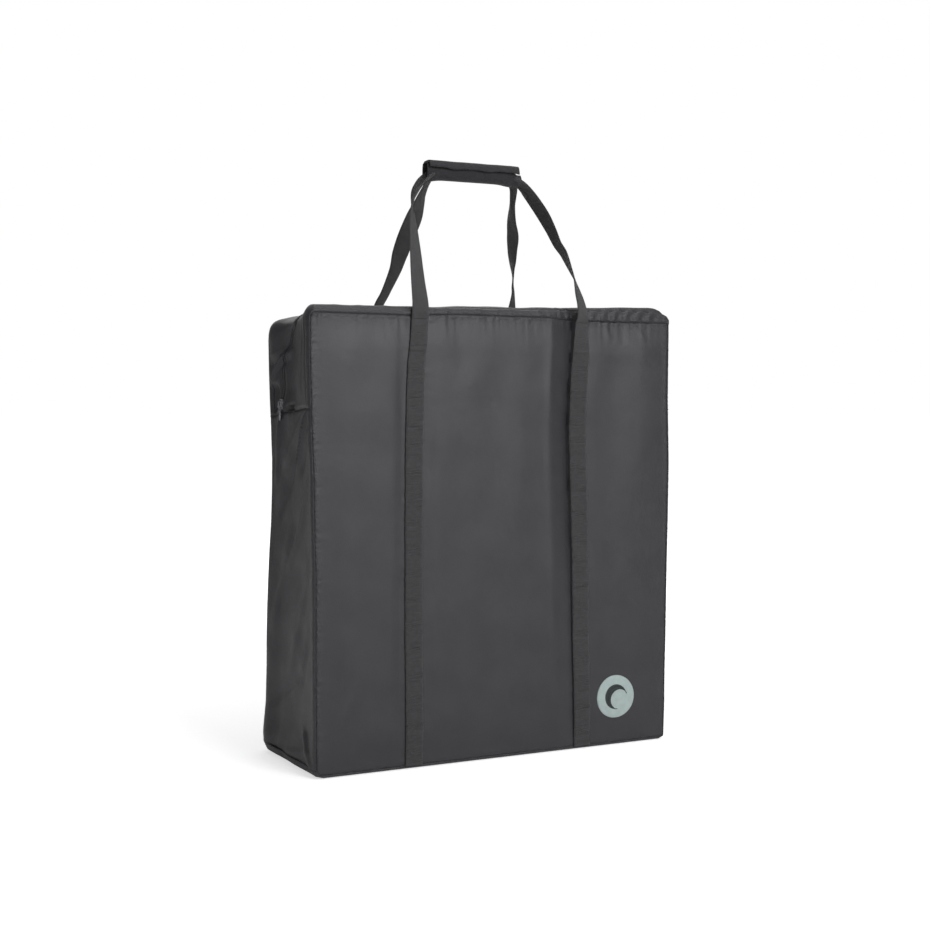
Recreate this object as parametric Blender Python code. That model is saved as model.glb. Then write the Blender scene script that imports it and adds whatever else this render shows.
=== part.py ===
"""Flat-folding playpen packed in its zipped carry bag.

Frame: metres, +Z up, +X to the bag's right as seen from the front, the front faces -Y.
Origin: the middle of the footprint, on the surface that the bag stands on.
"""
import math

import bmesh
import bpy
from mathutils import Vector

GAP = 0.0003  # clearance between pieces that meet

# The bag
SEAM_HEIGHT = 0.600  # top seam of the front and back panels
TOP_HALF_WIDTH = 0.2735
BOTTOM_HALF_WIDTH = 0.2665
HALF_DEPTH = 0.091
CLOTH = 0.0025  # bag fabric with its lining
SIDE_INSET = 0.0085  # how far the sides lie in from the edges of the front and back panels
CORNER_RADIUS = 0.012
INNER_HALF_DEPTH = HALF_DEPTH - CLOTH - GAP

# The top: a shoulder beside each panel, and a lid half that folds at the shoulder's edge
CREASE_Y = 0.0735
CREASE_Z = 0.6172
SHOULDER_OUTER = [
    (HALF_DEPTH, SEAM_HEIGHT + GAP), (0.0885, 0.6085), (0.0820, 0.6150), (CREASE_Y + GAP, CREASE_Z),
]
SHOULDER_INNER = [
    (CREASE_Y + GAP, CREASE_Z - CLOTH), (0.0810, 0.6128), (0.0865, 0.6072),
    (HALF_DEPTH - CLOTH, SEAM_HEIGHT + GAP),
]
ZIP_OPENING = 0.0060  # from the zip's middle line to the fabric's edge

# The side zips, down to the cross seam of each side
DROP_SEAM = 0.4757
DROP_X = 0.2640
ZIP_STRAIGHT_TOP = 0.530  # the left zip runs straight up to here, then curves to the middle
ZIP_LEFT_Y = 0.045
ZIP_THICK = 0.0020
ZIP_PROUD = 0.0005  # the side zips stand out from the fabric by this much

# Zip slider and its pull
SLIDER_Z = 0.4860
SLIDER_HALF_LENGTH = 0.0070
SLIDER_HALF_WIDTH = 0.0045
SLIDER_STANDOFF = 0.0010  # the slider's back to the fabric's outer face
SLIDER_PLATE = 0.0028
HOOK_OPENING = 0.0026
HOOK_THICK = 0.0012
HOOK_HALF_WIDTH = 0.0012
PULL_THICK = 0.0012
PULL_AXIS_DROP = 0.0025  # the pull's axis below the slider's middle

# Webbing handles
WEB_WIDTH = 0.025
WEB_THICK = 0.0020
WEB_HEM = 0.0035

# Grip
GRIP_Y = -0.012
GRIP_LEFT = -0.0760
GRIP_RIGHT = 0.0715
GRIP_FLOOR = 0.7940
GRIP_TOP = 0.8230
GRIP_HALF_DEPTH = 0.0095
GRIP_WALL = 0.0030
GRIP_WEB_Z = 0.8100  # middle of the webbing held in the grip
WEB_SPREAD = 0.0025  # each handle's webbing to the grip's middle plane
FLAP_THICK = 0.0030
FLAP_LIP = 0.0085
FLAP_LEFT_INSET = 0.0015
FLAP_RIGHT_INSET = 0.0065
STRIP_THICK = 0.0010
STRIP_INSET = 0.012  # from the grip's ends
STRIP_LOW = 0.0075  # the strips' lower and upper edges below the wrap's top
STRIP_HIGH = 0.0005

# Badge
BADGE_X = 0.1850
BADGE_Z = 0.0695
BADGE_RADIUS = 0.0295
BADGE_THICK = 0.0012

# Folded playpen, from the front of the bag to the back
PAD_THICK = 0.0290
PAD_HALF_WIDTH = 0.250
PAD_BOTTOM = 0.0060
PAD_TOP = 0.5900
PAD_CLEARANCE = 0.0035  # the front panel's inner face to the first mattress section
PAD_GAP = 0.0010
TUBE_RADIUS = 0.0100
LEG_RADIUS = 0.0080
TUBE_WALL = 0.0012
LAYER_FRONT = -0.0110
LAYER_REAR = 0.0160
JOINT_HALF_DEPTH = 0.0125
JOINT_LEFT = -0.2540
JOINT_RIGHT = -0.1760
END_RAIL_X = -0.2400
LEG_UPPER_X = -0.2150
LEG_LOWER_X = -0.1900
HUB_LEFT = 0.2120
HUB_RIGHT = 0.2480
FRAME_MIDDLE = 0.300
RAIL_RISE = 0.269  # each half rail above or below the frame's middle
JOINT_INNER = 0.253
JOINT_OUTER = 0.285
FOOT_LENGTH = 0.025
FOOT_RADIUS = 0.0105
WALLS_FRONT = 0.0340
WALLS_REAR = 0.0640
WALLS_HALF_WIDTH = 0.235
WALLS_BOTTOM = 0.020
WALLS_TOP = 0.575

SIDES = 12

# Middle line of each sewn webbing: x, z
SEWN_ROUTES = {
    "webbing_front_left": [
        (-0.1190, 0.600), (-0.1253, 0.532), (-0.1285, 0.400), (-0.1289, 0.200), (-0.1275, WEB_HEM),
    ],
    "webbing_front_right": [
        (0.1310, 0.600), (0.1252, 0.520), (0.1222, 0.460), (0.1260, 0.288), (0.1300, WEB_HEM),
    ],
    "webbing_back_left": [(-0.1065, 0.600), (-0.1100, 0.500), (-0.1100, 0.300), (-0.1100, WEB_HEM)],
    "webbing_back_right": [(0.1130, 0.600), (0.1120, 0.500), (0.1100, 0.300), (0.1100, WEB_HEM)],
}

# Free webbing from the panel's top seam to the ends of the grip: x, y, z and turn in degrees
STRAP_ROUTES = {
    "strap_front_left": [
        (-0.1190, -0.0923, 0.6003, 0), (-0.1180, -0.0920, 0.6120, 2), (-0.1170, -0.0890, 0.6240, 8),
        (-0.1151, -0.0776, 0.6487, 16), (-0.1092, -0.0557, 0.6904, 26), (-0.1037, -0.0361, 0.7281, 40),
        (-0.1012, -0.0262, 0.7580, 50), (-0.1000, -0.0190, 0.7850, 25), (-0.0920, -0.0150, 0.8085, 0),
        (GRIP_LEFT - GAP, GRIP_Y - WEB_SPREAD, GRIP_WEB_Z, 0),
    ],
    "strap_front_right": [
        (0.1310, -0.0923, 0.6003, 0), (0.1318, -0.0920, 0.6120, 6), (0.1320, -0.0895, 0.6260, 30),
        (0.1316, -0.0800, 0.6450, 40), (0.1300, -0.0680, 0.6680, 56), (0.1255, -0.0500, 0.7002, 62),
        (0.1144, -0.0322, 0.7357, 35), (0.1030, -0.0240, 0.7650, 15), (0.0960, -0.0180, 0.7880, 4),
        (0.0870, -0.0150, 0.8085, 0), (GRIP_RIGHT + GAP, GRIP_Y - WEB_SPREAD, GRIP_WEB_Z, 0),
    ],
    "strap_back_left": [
        (-0.1065, 0.0923, 0.6003, 0), (-0.1062, 0.0920, 0.6120, 4), (-0.1050, 0.0890, 0.6260, 30),
        (-0.0992, 0.0745, 0.6474, 38), (-0.0915, 0.0531, 0.6806, 22), (-0.0905, 0.0391, 0.7009, 0),
        (-0.0888, 0.0253, 0.7224, 0), (-0.0900, 0.0100, 0.7500, 8), (-0.0930, -0.0040, 0.7850, 10),
        (-0.0920, -0.0090, 0.8085, 0), (GRIP_LEFT - GAP, GRIP_Y + WEB_SPREAD, GRIP_WEB_Z, 0),
    ],
    "strap_back_right": [
        (0.1130, 0.0923, 0.6003, 0), (0.1125, 0.0920, 0.6120, 6), (0.1115, 0.0895, 0.6260, 30),
        (0.1075, 0.0760, 0.6480, 50), (0.1026, 0.0659, 0.6621, 56), (0.0960, 0.0540, 0.6800, 58),
        (0.0871, 0.0381, 0.7025, 40), (0.0840, 0.0240, 0.7300, 15), (0.0850, 0.0090, 0.7560, 4),
        (0.0880, -0.0020, 0.7850, 0), (0.0870, -0.0090, 0.8085, 0),
        (GRIP_RIGHT + GAP, GRIP_Y + WEB_SPREAD, GRIP_WEB_Z, 0),
    ],
}
STRAP_STEPS = 4


def material(name, shade, roughness, metallic=0.0):
    """A Principled surface of one shade."""
    made = bpy.data.materials.new(name)
    made.use_nodes = True
    shader = made.node_tree.nodes["Principled BSDF"]
    shader.inputs["Base Color"].default_value = (*shade, 1.0)
    shader.inputs["Roughness"].default_value = roughness
    shader.inputs["Metallic"].default_value = metallic
    return made


def publish(name, mesh_data, surface):
    """Turn a bmesh into a named object with outward faces."""
    bmesh.ops.recalc_face_normals(mesh_data, faces=mesh_data.faces)
    mesh = bpy.data.meshes.new(name)
    mesh_data.to_mesh(mesh)
    mesh_data.free()
    mesh.materials.append(surface)
    made = bpy.data.objects.new(name, mesh)
    bpy.context.scene.collection.objects.link(made)
    return made


def loft(name, rings, surface, closed=False):
    """Join rings of points with side faces; cap the ends, or join the last ring to the first."""
    built = bmesh.new()
    rows = [[built.verts.new(point) for point in ring] for ring in rings]
    pairs = list(zip(rows, rows[1:]))
    if closed:
        pairs.append((rows[-1], rows[0]))
    for low, high in pairs:
        count = len(low)
        for step in range(count):
            after = (step + 1) % count
            built.faces.new((low[step], low[after], high[after], high[step]))
    if not closed:
        built.faces.new(rows[0])
        built.faces.new(rows[-1])
    return publish(name, built, surface)


def half_width(height):
    """The bag's half width at a height: it narrows a little towards the floor."""
    return BOTTOM_HALF_WIDTH + (TOP_HALF_WIDTH - BOTTOM_HALF_WIDTH) * height / SEAM_HEIGHT


def block(name, low, high, surface):
    """A box between two corners."""
    rings = []
    for z in (low[2], high[2]):
        rings.append([
            (low[0], low[1], z), (high[0], low[1], z), (high[0], high[1], z), (low[0], high[1], z),
        ])
    return loft(name, rings, surface)


def soften(item, width, segments=2):
    """Round an object's edges."""
    bevel = item.modifiers.new("rounded_edges", "BEVEL")
    bevel.width = width
    bevel.segments = segments
    bevel.limit_method = "ANGLE"
    return item


def circle(centre, along, radius, sides=SIDES):
    """Points round a centre, across a direction."""
    axis = Vector(along).normalized()
    first = axis.orthogonal().normalized()
    second = axis.cross(first)
    points = []
    for step in range(sides):
        angle = 2 * math.pi * step / sides
        points.append(Vector(centre) + radius * (math.cos(angle) * first + math.sin(angle) * second))
    return points


def tube(name, start, end, radius, surface):
    """An open tube with a wall."""
    along = Vector(end) - Vector(start)
    bore = radius - TUBE_WALL
    rings = [
        circle(start, along, radius), circle(end, along, radius),
        circle(end, along, bore), circle(start, along, bore),
    ]
    return loft(name, rings, surface, closed=True)


def rod(name, start, end, radius, surface, sides=SIDES):
    """A solid round bar."""
    along = Vector(end) - Vector(start)
    return loft(name, [circle(start, along, radius, sides), circle(end, along, radius, sides)], surface)


def panel_outline():
    """Rounded outline of the front and back panels: x, z."""
    corners = [(1, 0.0, -90), (1, SEAM_HEIGHT, 0), (-1, SEAM_HEIGHT, 90), (-1, 0.0, 180)]
    points = []
    for side, height, first_angle in corners:
        inward = CORNER_RADIUS if height == 0.0 else -CORNER_RADIUS
        centre_x = side * (half_width(height) - CORNER_RADIUS)
        for step in range(5):
            angle = math.radians(first_angle + 22.5 * step)
            points.append((
                centre_x + CORNER_RADIUS * math.cos(angle),
                height + inward + CORNER_RADIUS * math.sin(angle),
            ))
    return points


def make_panels(cloth):
    """The front and back faces of the bag."""
    for name, side in (("front_panel", -1), ("back_panel", 1)):
        outer = side * HALF_DEPTH
        inner = side * (HALF_DEPTH - CLOTH)
        rings = [[(x, y, z) for x, z in panel_outline()] for y in (outer, inner)]
        loft(name, rings, cloth)


def make_gussets(cloth):
    """The lower side pieces and the bottom, between the two panels."""
    for name, side in (("left_gusset", -1), ("right_gusset", 1)):
        rings = []
        for z in (0.0, DROP_SEAM - GAP):
            outer = side * (half_width(z) - SIDE_INSET)
            inner = side * (half_width(z) - SIDE_INSET - CLOTH)
            rings.append([
                (outer, -INNER_HALF_DEPTH, z), (outer, INNER_HALF_DEPTH, z),
                (inner, INNER_HALF_DEPTH, z), (inner, -INNER_HALF_DEPTH, z),
            ])
        loft(name, rings, cloth)
    reach = BOTTOM_HALF_WIDTH - SIDE_INSET - CLOTH - GAP
    block("bottom_panel", (-reach, -INNER_HALF_DEPTH, 0.0), (reach, INNER_HALF_DEPTH, CLOTH), cloth)


def zip_middle(side, height):
    """The y of a side zip's middle line. The left one leans to the rear below the top."""
    if side > 0:
        return 0.0
    rise = (height - ZIP_STRAIGHT_TOP) / (SEAM_HEIGHT - ZIP_STRAIGHT_TOP)
    part = min(max(rise, 0.0), 1.0)
    return ZIP_LEFT_Y * (1.0 - part * part * (3.0 - 2.0 * part))


def drop_heights():
    """Heights at which the side zip's curve is sampled."""
    top = CREASE_Z - CLOTH - 2 * GAP
    curve = [ZIP_STRAIGHT_TOP + (SEAM_HEIGHT - ZIP_STRAIGHT_TOP) * step / 6 for step in range(7)]
    return [DROP_SEAM] + curve + [top]


def make_drops(cloth, coil):
    """The two zipped pieces at the top of each side, and the two halves of the zip between them."""
    heights = drop_heights()
    for side_name, side in (("left", -1), ("right", 1)):
        for face_name, face in (("front", -1), ("rear", 1)):
            edge = [(zip_middle(side, z) + face * ZIP_OPENING, z) for z in heights]
            outline = edge + [
                (face * CREASE_Y, heights[-1]),
                (face * INNER_HALF_DEPTH, SEAM_HEIGHT - 2 * GAP),
                (face * INNER_HALF_DEPTH, DROP_SEAM),
            ]
            outer = side * DROP_X
            inner = side * (DROP_X - CLOTH)
            rings = [[(x, y, z) for y, z in outline] for x in (outer, inner)]
            loft(f"{side_name}_drop_{face_name}", rings, cloth)
            near = [(zip_middle(side, z) + face * GAP / 2, z) for z in heights]
            far = [(zip_middle(side, z) + face * (ZIP_OPENING - GAP), z) for z in heights]
            strip = near + far[::-1]
            proud = side * (DROP_X + ZIP_PROUD)
            sunk = side * (DROP_X + ZIP_PROUD - ZIP_THICK)
            loft(f"zip_{side_name}_{face_name}", [[(x, y, z) for y, z in strip] for x in (proud, sunk)], coil)


def make_top(cloth, coil):
    """The shoulders, the two lid halves and the top of the zip."""
    reach = TOP_HALF_WIDTH
    for name, face in (("front", -1), ("rear", 1)):
        outline = SHOULDER_OUTER + SHOULDER_INNER
        loft(f"shoulder_{name}", [[(x, face * y, z) for y, z in outline] for x in (-reach, reach)], cloth)
        ys = sorted((face * (CREASE_Y - GAP), face * ZIP_OPENING))
        block(f"lid_{name}", (-reach, ys[0], CREASE_Z - CLOTH), (reach, ys[1], CREASE_Z), cloth)
        ys = sorted((face * GAP / 2, face * (ZIP_OPENING - GAP)))
        block(
            f"zip_top_{name}", (-reach + CLOTH, ys[0], CREASE_Z - ZIP_THICK),
            (reach - CLOTH, ys[1], CREASE_Z), coil,
        )


def make_slider(metal):
    """The zip slider with its hook, and the pull that hangs in the hook."""
    face = DROP_X + SLIDER_STANDOFF
    plate = face + SLIDER_PLATE
    hook_in = plate + HOOK_OPENING
    hook_out = hook_in + HOOK_THICK
    half = SLIDER_HALF_LENGTH
    profile = [
        (face, -half), (plate, -half), (plate, 0.0038), (hook_in, 0.0030), (hook_in, -0.0036),
        (plate + 0.0008, -0.0036), (plate + 0.0008, -0.0046), (hook_out, -0.0046),
        (hook_out, 0.0036), (plate, 0.0056), (plate, half), (face, half),
    ]
    middle = zip_middle(-1, SLIDER_Z)
    rings = []
    for y in (middle - HOOK_HALF_WIDTH, middle + HOOK_HALF_WIDTH):
        rings.append([(-x, y, SLIDER_Z + z) for x, z in profile])
    hook = loft("zip_slider", rings, metal)
    body = block(
        "slider_body_cutter", (-plate + 0.0002, middle - SLIDER_HALF_WIDTH, SLIDER_Z - half),
        (-face, middle + SLIDER_HALF_WIDTH, SLIDER_Z + half), metal,
    )
    body.hide_render = True
    body.display_type = "WIRE"
    join = hook.modifiers.new("body", "BOOLEAN")
    join.operation = "UNION"
    join.object = body
    axis_x = plate + HOOK_OPENING / 2
    axis_z = SLIDER_Z - PULL_AXIS_DROP
    outer = [
        (-0.0030, 0.0008), (0.0030, 0.0008), (0.0030, -0.0080), (0.0026, -0.0180),
        (0.0012, -0.0200), (-0.0012, -0.0200), (-0.0026, -0.0180), (-0.0030, -0.0080),
    ]
    hole = [
        (-0.0017, -0.0008), (0.0017, -0.0008), (0.0017, -0.0050), (0.0015, -0.0064),
        (0.0006, -0.0068), (-0.0006, -0.0068), (-0.0015, -0.0064), (-0.0017, -0.0050),
    ]
    near = -axis_x - PULL_THICK / 2
    far = -axis_x + PULL_THICK / 2
    rings = []
    for x, outline in ((near, outer), (far, outer), (far, hole), (near, hole)):
        rings.append([(x, middle + y, axis_z + z) for y, z in outline])
    loft("zip_pull", rings, metal, closed=True)


def make_sewn_webbing(webbing):
    """Webbing stitched down the front and back panels."""
    for name, route in SEWN_ROUTES.items():
        face = -1 if "front" in name else 1
        near = face * (HALF_DEPTH + GAP)
        far = face * (HALF_DEPTH + GAP + WEB_THICK)
        half = WEB_WIDTH / 2
        rings = []
        for x, z in route:
            rings.append([(x - half, near, z), (x + half, near, z), (x + half, far, z), (x - half, far, z)])
        loft(name, rings, webbing)


def smooth_route(points, steps):
    """Catmull-Rom points through a route of tuples."""
    rows = [Vector(point) for point in points]
    made = []
    for index in range(len(rows) - 1):
        before = rows[max(index - 1, 0)]
        start, end = rows[index], rows[index + 1]
        after = rows[min(index + 2, len(rows) - 1)]
        for step in range(steps):
            t = step / steps
            made.append(0.5 * (
                2 * start + (end - before) * t
                + (2 * before - 5 * start + 4 * end - after) * t * t
                + (3 * start - before - 3 * end + after) * t ** 3
            ))
    made.append(rows[-1])
    return made


def ribbon_rings(route):
    """Cross sections of flat webbing along a smoothed route, turned about its own line."""
    rows = smooth_route(route, STRAP_STEPS)
    rings = []
    for index, row in enumerate(rows):
        before = rows[max(index - 1, 0)].xyz
        after = rows[min(index + 1, len(rows) - 1)].xyz
        along = (after - before).normalized()
        if index == 0:
            along = Vector((0, 0, 1))
        if index == len(rows) - 1:
            along = Vector((1 if route[0][0] < 0 else -1, 0, 0))
        across = Vector((0, 1, 0)).cross(along).normalized()
        facing = along.cross(across)
        turn = math.radians(row.w)
        width = (across * math.cos(turn) + facing * math.sin(turn)) * WEB_WIDTH / 2
        depth = width.cross(along).normalized() * WEB_THICK / 2
        centre = row.xyz
        rings.append([
            centre - width - depth, centre + width - depth,
            centre + width + depth, centre - width + depth,
        ])
    return rings


def make_straps(webbing):
    """The four free legs of the handles, and the webbing held in the grip."""
    for name, route in STRAP_ROUTES.items():
        loft(name, ribbon_rings(route), webbing)
    for name, side in (("grip_webbing_front", -1), ("grip_webbing_rear", 1)):
        y = GRIP_Y + side * WEB_SPREAD
        block(
            name, (GRIP_LEFT, y - WEB_THICK / 2, GRIP_WEB_Z - WEB_WIDTH / 2),
            (GRIP_RIGHT, y + WEB_THICK / 2, GRIP_WEB_Z + WEB_WIDTH / 2), webbing,
        )


def make_grip(padding, strip):
    """The wrap round the webbing, its closing flap, and the hook-and-loop strips."""
    front = GRIP_Y - GRIP_HALF_DEPTH
    rear = GRIP_Y + GRIP_HALF_DEPTH
    floor = GRIP_FLOOR
    wall = GRIP_WALL
    outline = [
        (front, GRIP_TOP), (front, floor + 0.005), (front + 0.005, floor), (rear - 0.005, floor),
        (rear, floor + 0.005), (rear, GRIP_TOP), (rear - wall, GRIP_TOP), (rear - wall, floor + wall),
        (front + wall, floor + wall), (front + wall, GRIP_TOP),
    ]
    loft("grip_wrap", [[(x, y, z) for y, z in outline] for x in (GRIP_LEFT, GRIP_RIGHT)], padding)
    loop_front = front - GAP - STRIP_THICK
    block(
        "loop_strip", (GRIP_LEFT + STRIP_INSET, loop_front, GRIP_TOP - STRIP_LOW),
        (GRIP_RIGHT - STRIP_INSET, front - GAP, GRIP_TOP - STRIP_HIGH), strip,
    )
    hook_front = loop_front - GAP - STRIP_THICK
    block(
        "hook_strip", (GRIP_LEFT + STRIP_INSET, hook_front, GRIP_TOP - STRIP_LOW),
        (GRIP_RIGHT - STRIP_INSET, loop_front - GAP, GRIP_TOP - STRIP_HIGH), strip,
    )
    lip = hook_front - GAP
    base = GRIP_TOP + GAP
    flap = [
        (rear, base), (rear, base + FLAP_THICK), (lip + 0.001, base + FLAP_THICK),
        (lip - FLAP_THICK, base + FLAP_THICK - 0.0015), (lip - FLAP_THICK, GRIP_TOP - FLAP_LIP),
        (lip, GRIP_TOP - FLAP_LIP), (lip, base),
    ]
    ends = (GRIP_LEFT + FLAP_LEFT_INSET, GRIP_RIGHT - FLAP_RIGHT_INSET)
    loft("grip_flap", [[(x, y, z) for y, z in flap] for x in ends], padding)


def make_badge(rubber):
    """A plain round badge on the front panel."""
    near = -(HALF_DEPTH + GAP)
    far = near - BADGE_THICK
    rod("badge", (BADGE_X, near, BADGE_Z), (BADGE_X, far, BADGE_Z), BADGE_RADIUS, rubber, 32)


def make_soft_contents(ticking, netting):
    """The mattress, folded in two, and the folded fabric walls."""
    start = -HALF_DEPTH + CLOTH + PAD_CLEARANCE
    for name in ("mattress_section_front", "mattress_section_rear"):
        soften(block(
            name, (-PAD_HALF_WIDTH, start, PAD_BOTTOM),
            (PAD_HALF_WIDTH, start + PAD_THICK, PAD_TOP), ticking,
        ), 0.008)
        start += PAD_THICK + PAD_GAP
    soften(block(
        "folded_mesh_walls", (-WALLS_HALF_WIDTH, WALLS_FRONT, WALLS_BOTTOM),
        (WALLS_HALF_WIDTH, WALLS_REAR, WALLS_TOP), netting,
    ), 0.010)


def make_frame(paint, moulding, rubber):
    """The folded frame: two layers, each with an end rail, two half rails and two legs."""
    for layer_name, y in (("front", LAYER_FRONT), ("rear", LAYER_REAR)):
        rail_end = JOINT_INNER - GAP
        tube(
            f"end_rail_{layer_name}", (END_RAIL_X, y, FRAME_MIDDLE - rail_end),
            (END_RAIL_X, y, FRAME_MIDDLE + rail_end), TUBE_RADIUS, paint,
        )
        for level_name, up, leg_x in (("upper", 1, LEG_UPPER_X), ("lower", -1, LEG_LOWER_X)):
            place = f"{layer_name}_{level_name}"
            rail_z = FRAME_MIDDLE + up * RAIL_RISE
            tube(
                f"half_rail_{place}", (JOINT_RIGHT + GAP, y, rail_z),
                (HUB_LEFT - GAP, y, rail_z), TUBE_RADIUS, paint,
            )
            levels = sorted((FRAME_MIDDLE + up * JOINT_INNER, FRAME_MIDDLE + up * JOINT_OUTER))
            soften(block(
                f"corner_joint_{place}", (JOINT_LEFT, y - JOINT_HALF_DEPTH, levels[0]),
                (JOINT_RIGHT, y + JOINT_HALF_DEPTH, levels[1]), moulding,
            ), 0.003)
            leg_start = FRAME_MIDDLE + up * (JOINT_INNER - GAP)
            foot_end = FRAME_MIDDLE - up * (JOINT_INNER - 0.003)
            leg_end = foot_end + up * FOOT_LENGTH
            tube(f"leg_{place}", (leg_x, y, leg_start), (leg_x, y, leg_end + up * GAP), LEG_RADIUS, paint)
            rod(f"foot_{place}", (leg_x, y, leg_end), (leg_x, y, foot_end), FOOT_RADIUS, rubber)
    for level_name, up in (("upper", 1), ("lower", -1)):
        levels = sorted((FRAME_MIDDLE + up * JOINT_INNER, FRAME_MIDDLE + up * JOINT_OUTER))
        soften(block(
            f"fold_hub_{level_name}", (HUB_LEFT, LAYER_FRONT - JOINT_HALF_DEPTH, levels[0]),
            (HUB_RIGHT, LAYER_REAR + JOINT_HALF_DEPTH, levels[1]), moulding,
        ), 0.003)


def build():
    """Clear the scene and make the packed playpen."""
    for item in list(bpy.data.objects):
        bpy.data.objects.remove(item)
    cloth = material("coated polyester", (0.064, 0.062, 0.067), 0.55)
    webbing = material("polypropylene webbing", (0.045, 0.045, 0.047), 0.75)
    padding = material("padded polyester", (0.040, 0.040, 0.042), 0.70)
    coil = material("nylon zip coil", (0.030, 0.030, 0.033), 0.50)
    metal = material("painted zinc", (0.120, 0.120, 0.130), 0.40, 0.8)
    strip = material("hook and loop", (0.020, 0.020, 0.022), 0.90)
    print_rubber = material("printed rubber", (0.420, 0.510, 0.500), 0.60)
    ticking = material("mattress ticking", (0.350, 0.350, 0.370), 0.85)
    netting = material("polyester netting", (0.090, 0.090, 0.095), 0.90)
    paint = material("powder coated steel", (0.250, 0.250, 0.260), 0.45, 0.3)
    moulding = material("moulded polypropylene", (0.050, 0.050, 0.055), 0.50)
    rubber = material("foot rubber", (0.020, 0.020, 0.020), 0.80)
    make_panels(cloth)
    make_gussets(cloth)
    make_drops(cloth, coil)
    make_top(cloth, coil)
    make_slider(metal)
    make_sewn_webbing(webbing)
    make_straps(webbing)
    make_grip(padding, strip)
    make_badge(print_rubber)
    make_soft_contents(ticking, netting)
    make_frame(paint, moulding, rubber)


build()
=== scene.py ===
"""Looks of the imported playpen: the cloth bag, its zip, webbing, grip and badge, and the playpen inside.

Everything is in metres in the frame of the CAD part: +Z up, the bag's front faces -Y, its left side is at -X.
"""
import math

import bmesh
import bpy
import numpy as np
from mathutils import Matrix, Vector


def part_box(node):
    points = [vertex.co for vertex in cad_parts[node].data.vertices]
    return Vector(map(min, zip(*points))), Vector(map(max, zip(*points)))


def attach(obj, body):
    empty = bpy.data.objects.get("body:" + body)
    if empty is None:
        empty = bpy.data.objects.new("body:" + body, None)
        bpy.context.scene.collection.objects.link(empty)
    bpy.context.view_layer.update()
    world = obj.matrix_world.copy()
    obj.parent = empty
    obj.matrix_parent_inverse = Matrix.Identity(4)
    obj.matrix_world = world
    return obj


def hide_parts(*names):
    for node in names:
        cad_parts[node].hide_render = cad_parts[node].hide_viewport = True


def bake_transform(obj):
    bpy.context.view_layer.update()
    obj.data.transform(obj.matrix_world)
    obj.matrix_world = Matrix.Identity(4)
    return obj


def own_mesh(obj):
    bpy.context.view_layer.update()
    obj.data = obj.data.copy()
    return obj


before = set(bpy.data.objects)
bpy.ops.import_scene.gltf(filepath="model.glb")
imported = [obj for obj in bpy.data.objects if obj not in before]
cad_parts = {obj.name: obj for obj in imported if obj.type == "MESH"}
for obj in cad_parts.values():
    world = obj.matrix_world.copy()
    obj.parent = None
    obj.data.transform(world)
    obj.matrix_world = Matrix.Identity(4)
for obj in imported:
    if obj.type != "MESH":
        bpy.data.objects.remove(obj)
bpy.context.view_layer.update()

bl_info = {
    "name": "Packed Playpen",
    "version": (1, 0, 0),
    "blender": (4, 5, 0),
    "location": "View3D > Sidebar > Playpen",
    "description": "Makes the cloth, webbing, zip and padding of a playpen packed in its carry bag",
    "category": "Object",
}

# ---------------------------------------------------------------------------
# Places taken from the frame
# ---------------------------------------------------------------------------

GRIP_LOW, GRIP_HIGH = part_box("grip_wrap")
FLAP_LOW, FLAP_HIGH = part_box("grip_flap")
BADGE_LOW, BADGE_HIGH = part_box("badge")

CROSS_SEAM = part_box("left_drop_front")[0].z
CREASE_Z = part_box("lid_front")[1].z
HINGE_Y = 0.0735
STRAP_FOOT = 0.6003
GRIP_MIDDLE = (GRIP_LOW.y + GRIP_HIGH.y) / 2
GRIP_WEB_Z = 0.8105
WRAP_FLOOR = 0.8000
FLAP_EDGE = 0.8158
STITCH_INSET = 0.0020
PAD_WALL = 0.0026

# The rim: the line of the seam that joins the front or back panel to the strip round the bag.
# Each table gives heights, then the seam's distance from the middle at those heights.
RIM_FLOOR = 0.0050
ROLL = 0.0038
RIM_Y = 0.0905
SIDE_EDGES = {
    (-1, -1): (
        [0.0, 0.04, 0.12, 0.27, 0.31, 0.39, 0.47, 0.505, 0.56, 0.61],
        [0.2640, 0.2649, 0.2656, 0.2656, 0.2670, 0.2683, 0.2717, 0.2724, 0.2738, 0.2735]),
    (1, -1): (
        [0.0, 0.05, 0.10, 0.15, 0.21, 0.27, 0.32, 0.40, 0.45, 0.49, 0.54, 0.60],
        [0.2660, 0.2678, 0.2685, 0.2700, 0.2712, 0.2726, 0.2740, 0.2756, 0.2749, 0.2740, 0.2747, 0.2757]),
    (-1, 1): (
        [0.0, 0.03, 0.07, 0.12, 0.16, 0.20, 0.24, 0.28, 0.32, 0.37, 0.41, 0.45, 0.49, 0.53, 0.575, 0.60],
        [0.2740, 0.2752, 0.2713, 0.2702, 0.2703, 0.2698, 0.2687, 0.2672, 0.2649, 0.2637, 0.2636, 0.2652,
         0.2671, 0.2684, 0.2693, 0.2680]),
    (1, 1): ([0.0, 0.20, 0.45, 0.60], [0.2690, 0.2705, 0.2690, 0.2700]),
}
# Height of the top seam along the bag: x, then height
TOP_EDGES = {
    -1: (
        [-0.28, -0.25, -0.20, -0.14, -0.08, -0.05, 0.01, 0.07, 0.105, 0.17, 0.24, 0.28],
        [0.6060, 0.6062, 0.6056, 0.6052, 0.6074, 0.6082, 0.6072, 0.6072, 0.6054, 0.6039, 0.6034, 0.6030]),
    1: ([-0.28, -0.24, -0.18, -0.10, 0.10, 0.28], [0.5950, 0.5965, 0.5995, 0.6010, 0.6020, 0.6000]),
}
# Radii of the rim's corners: top left, top right, bottom right, bottom left
CORNERS = {-1: (0.0080, 0.0040, 0.0025, 0.0080), 1: (0.0120, 0.0100, 0.0090, 0.0100)}
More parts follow.
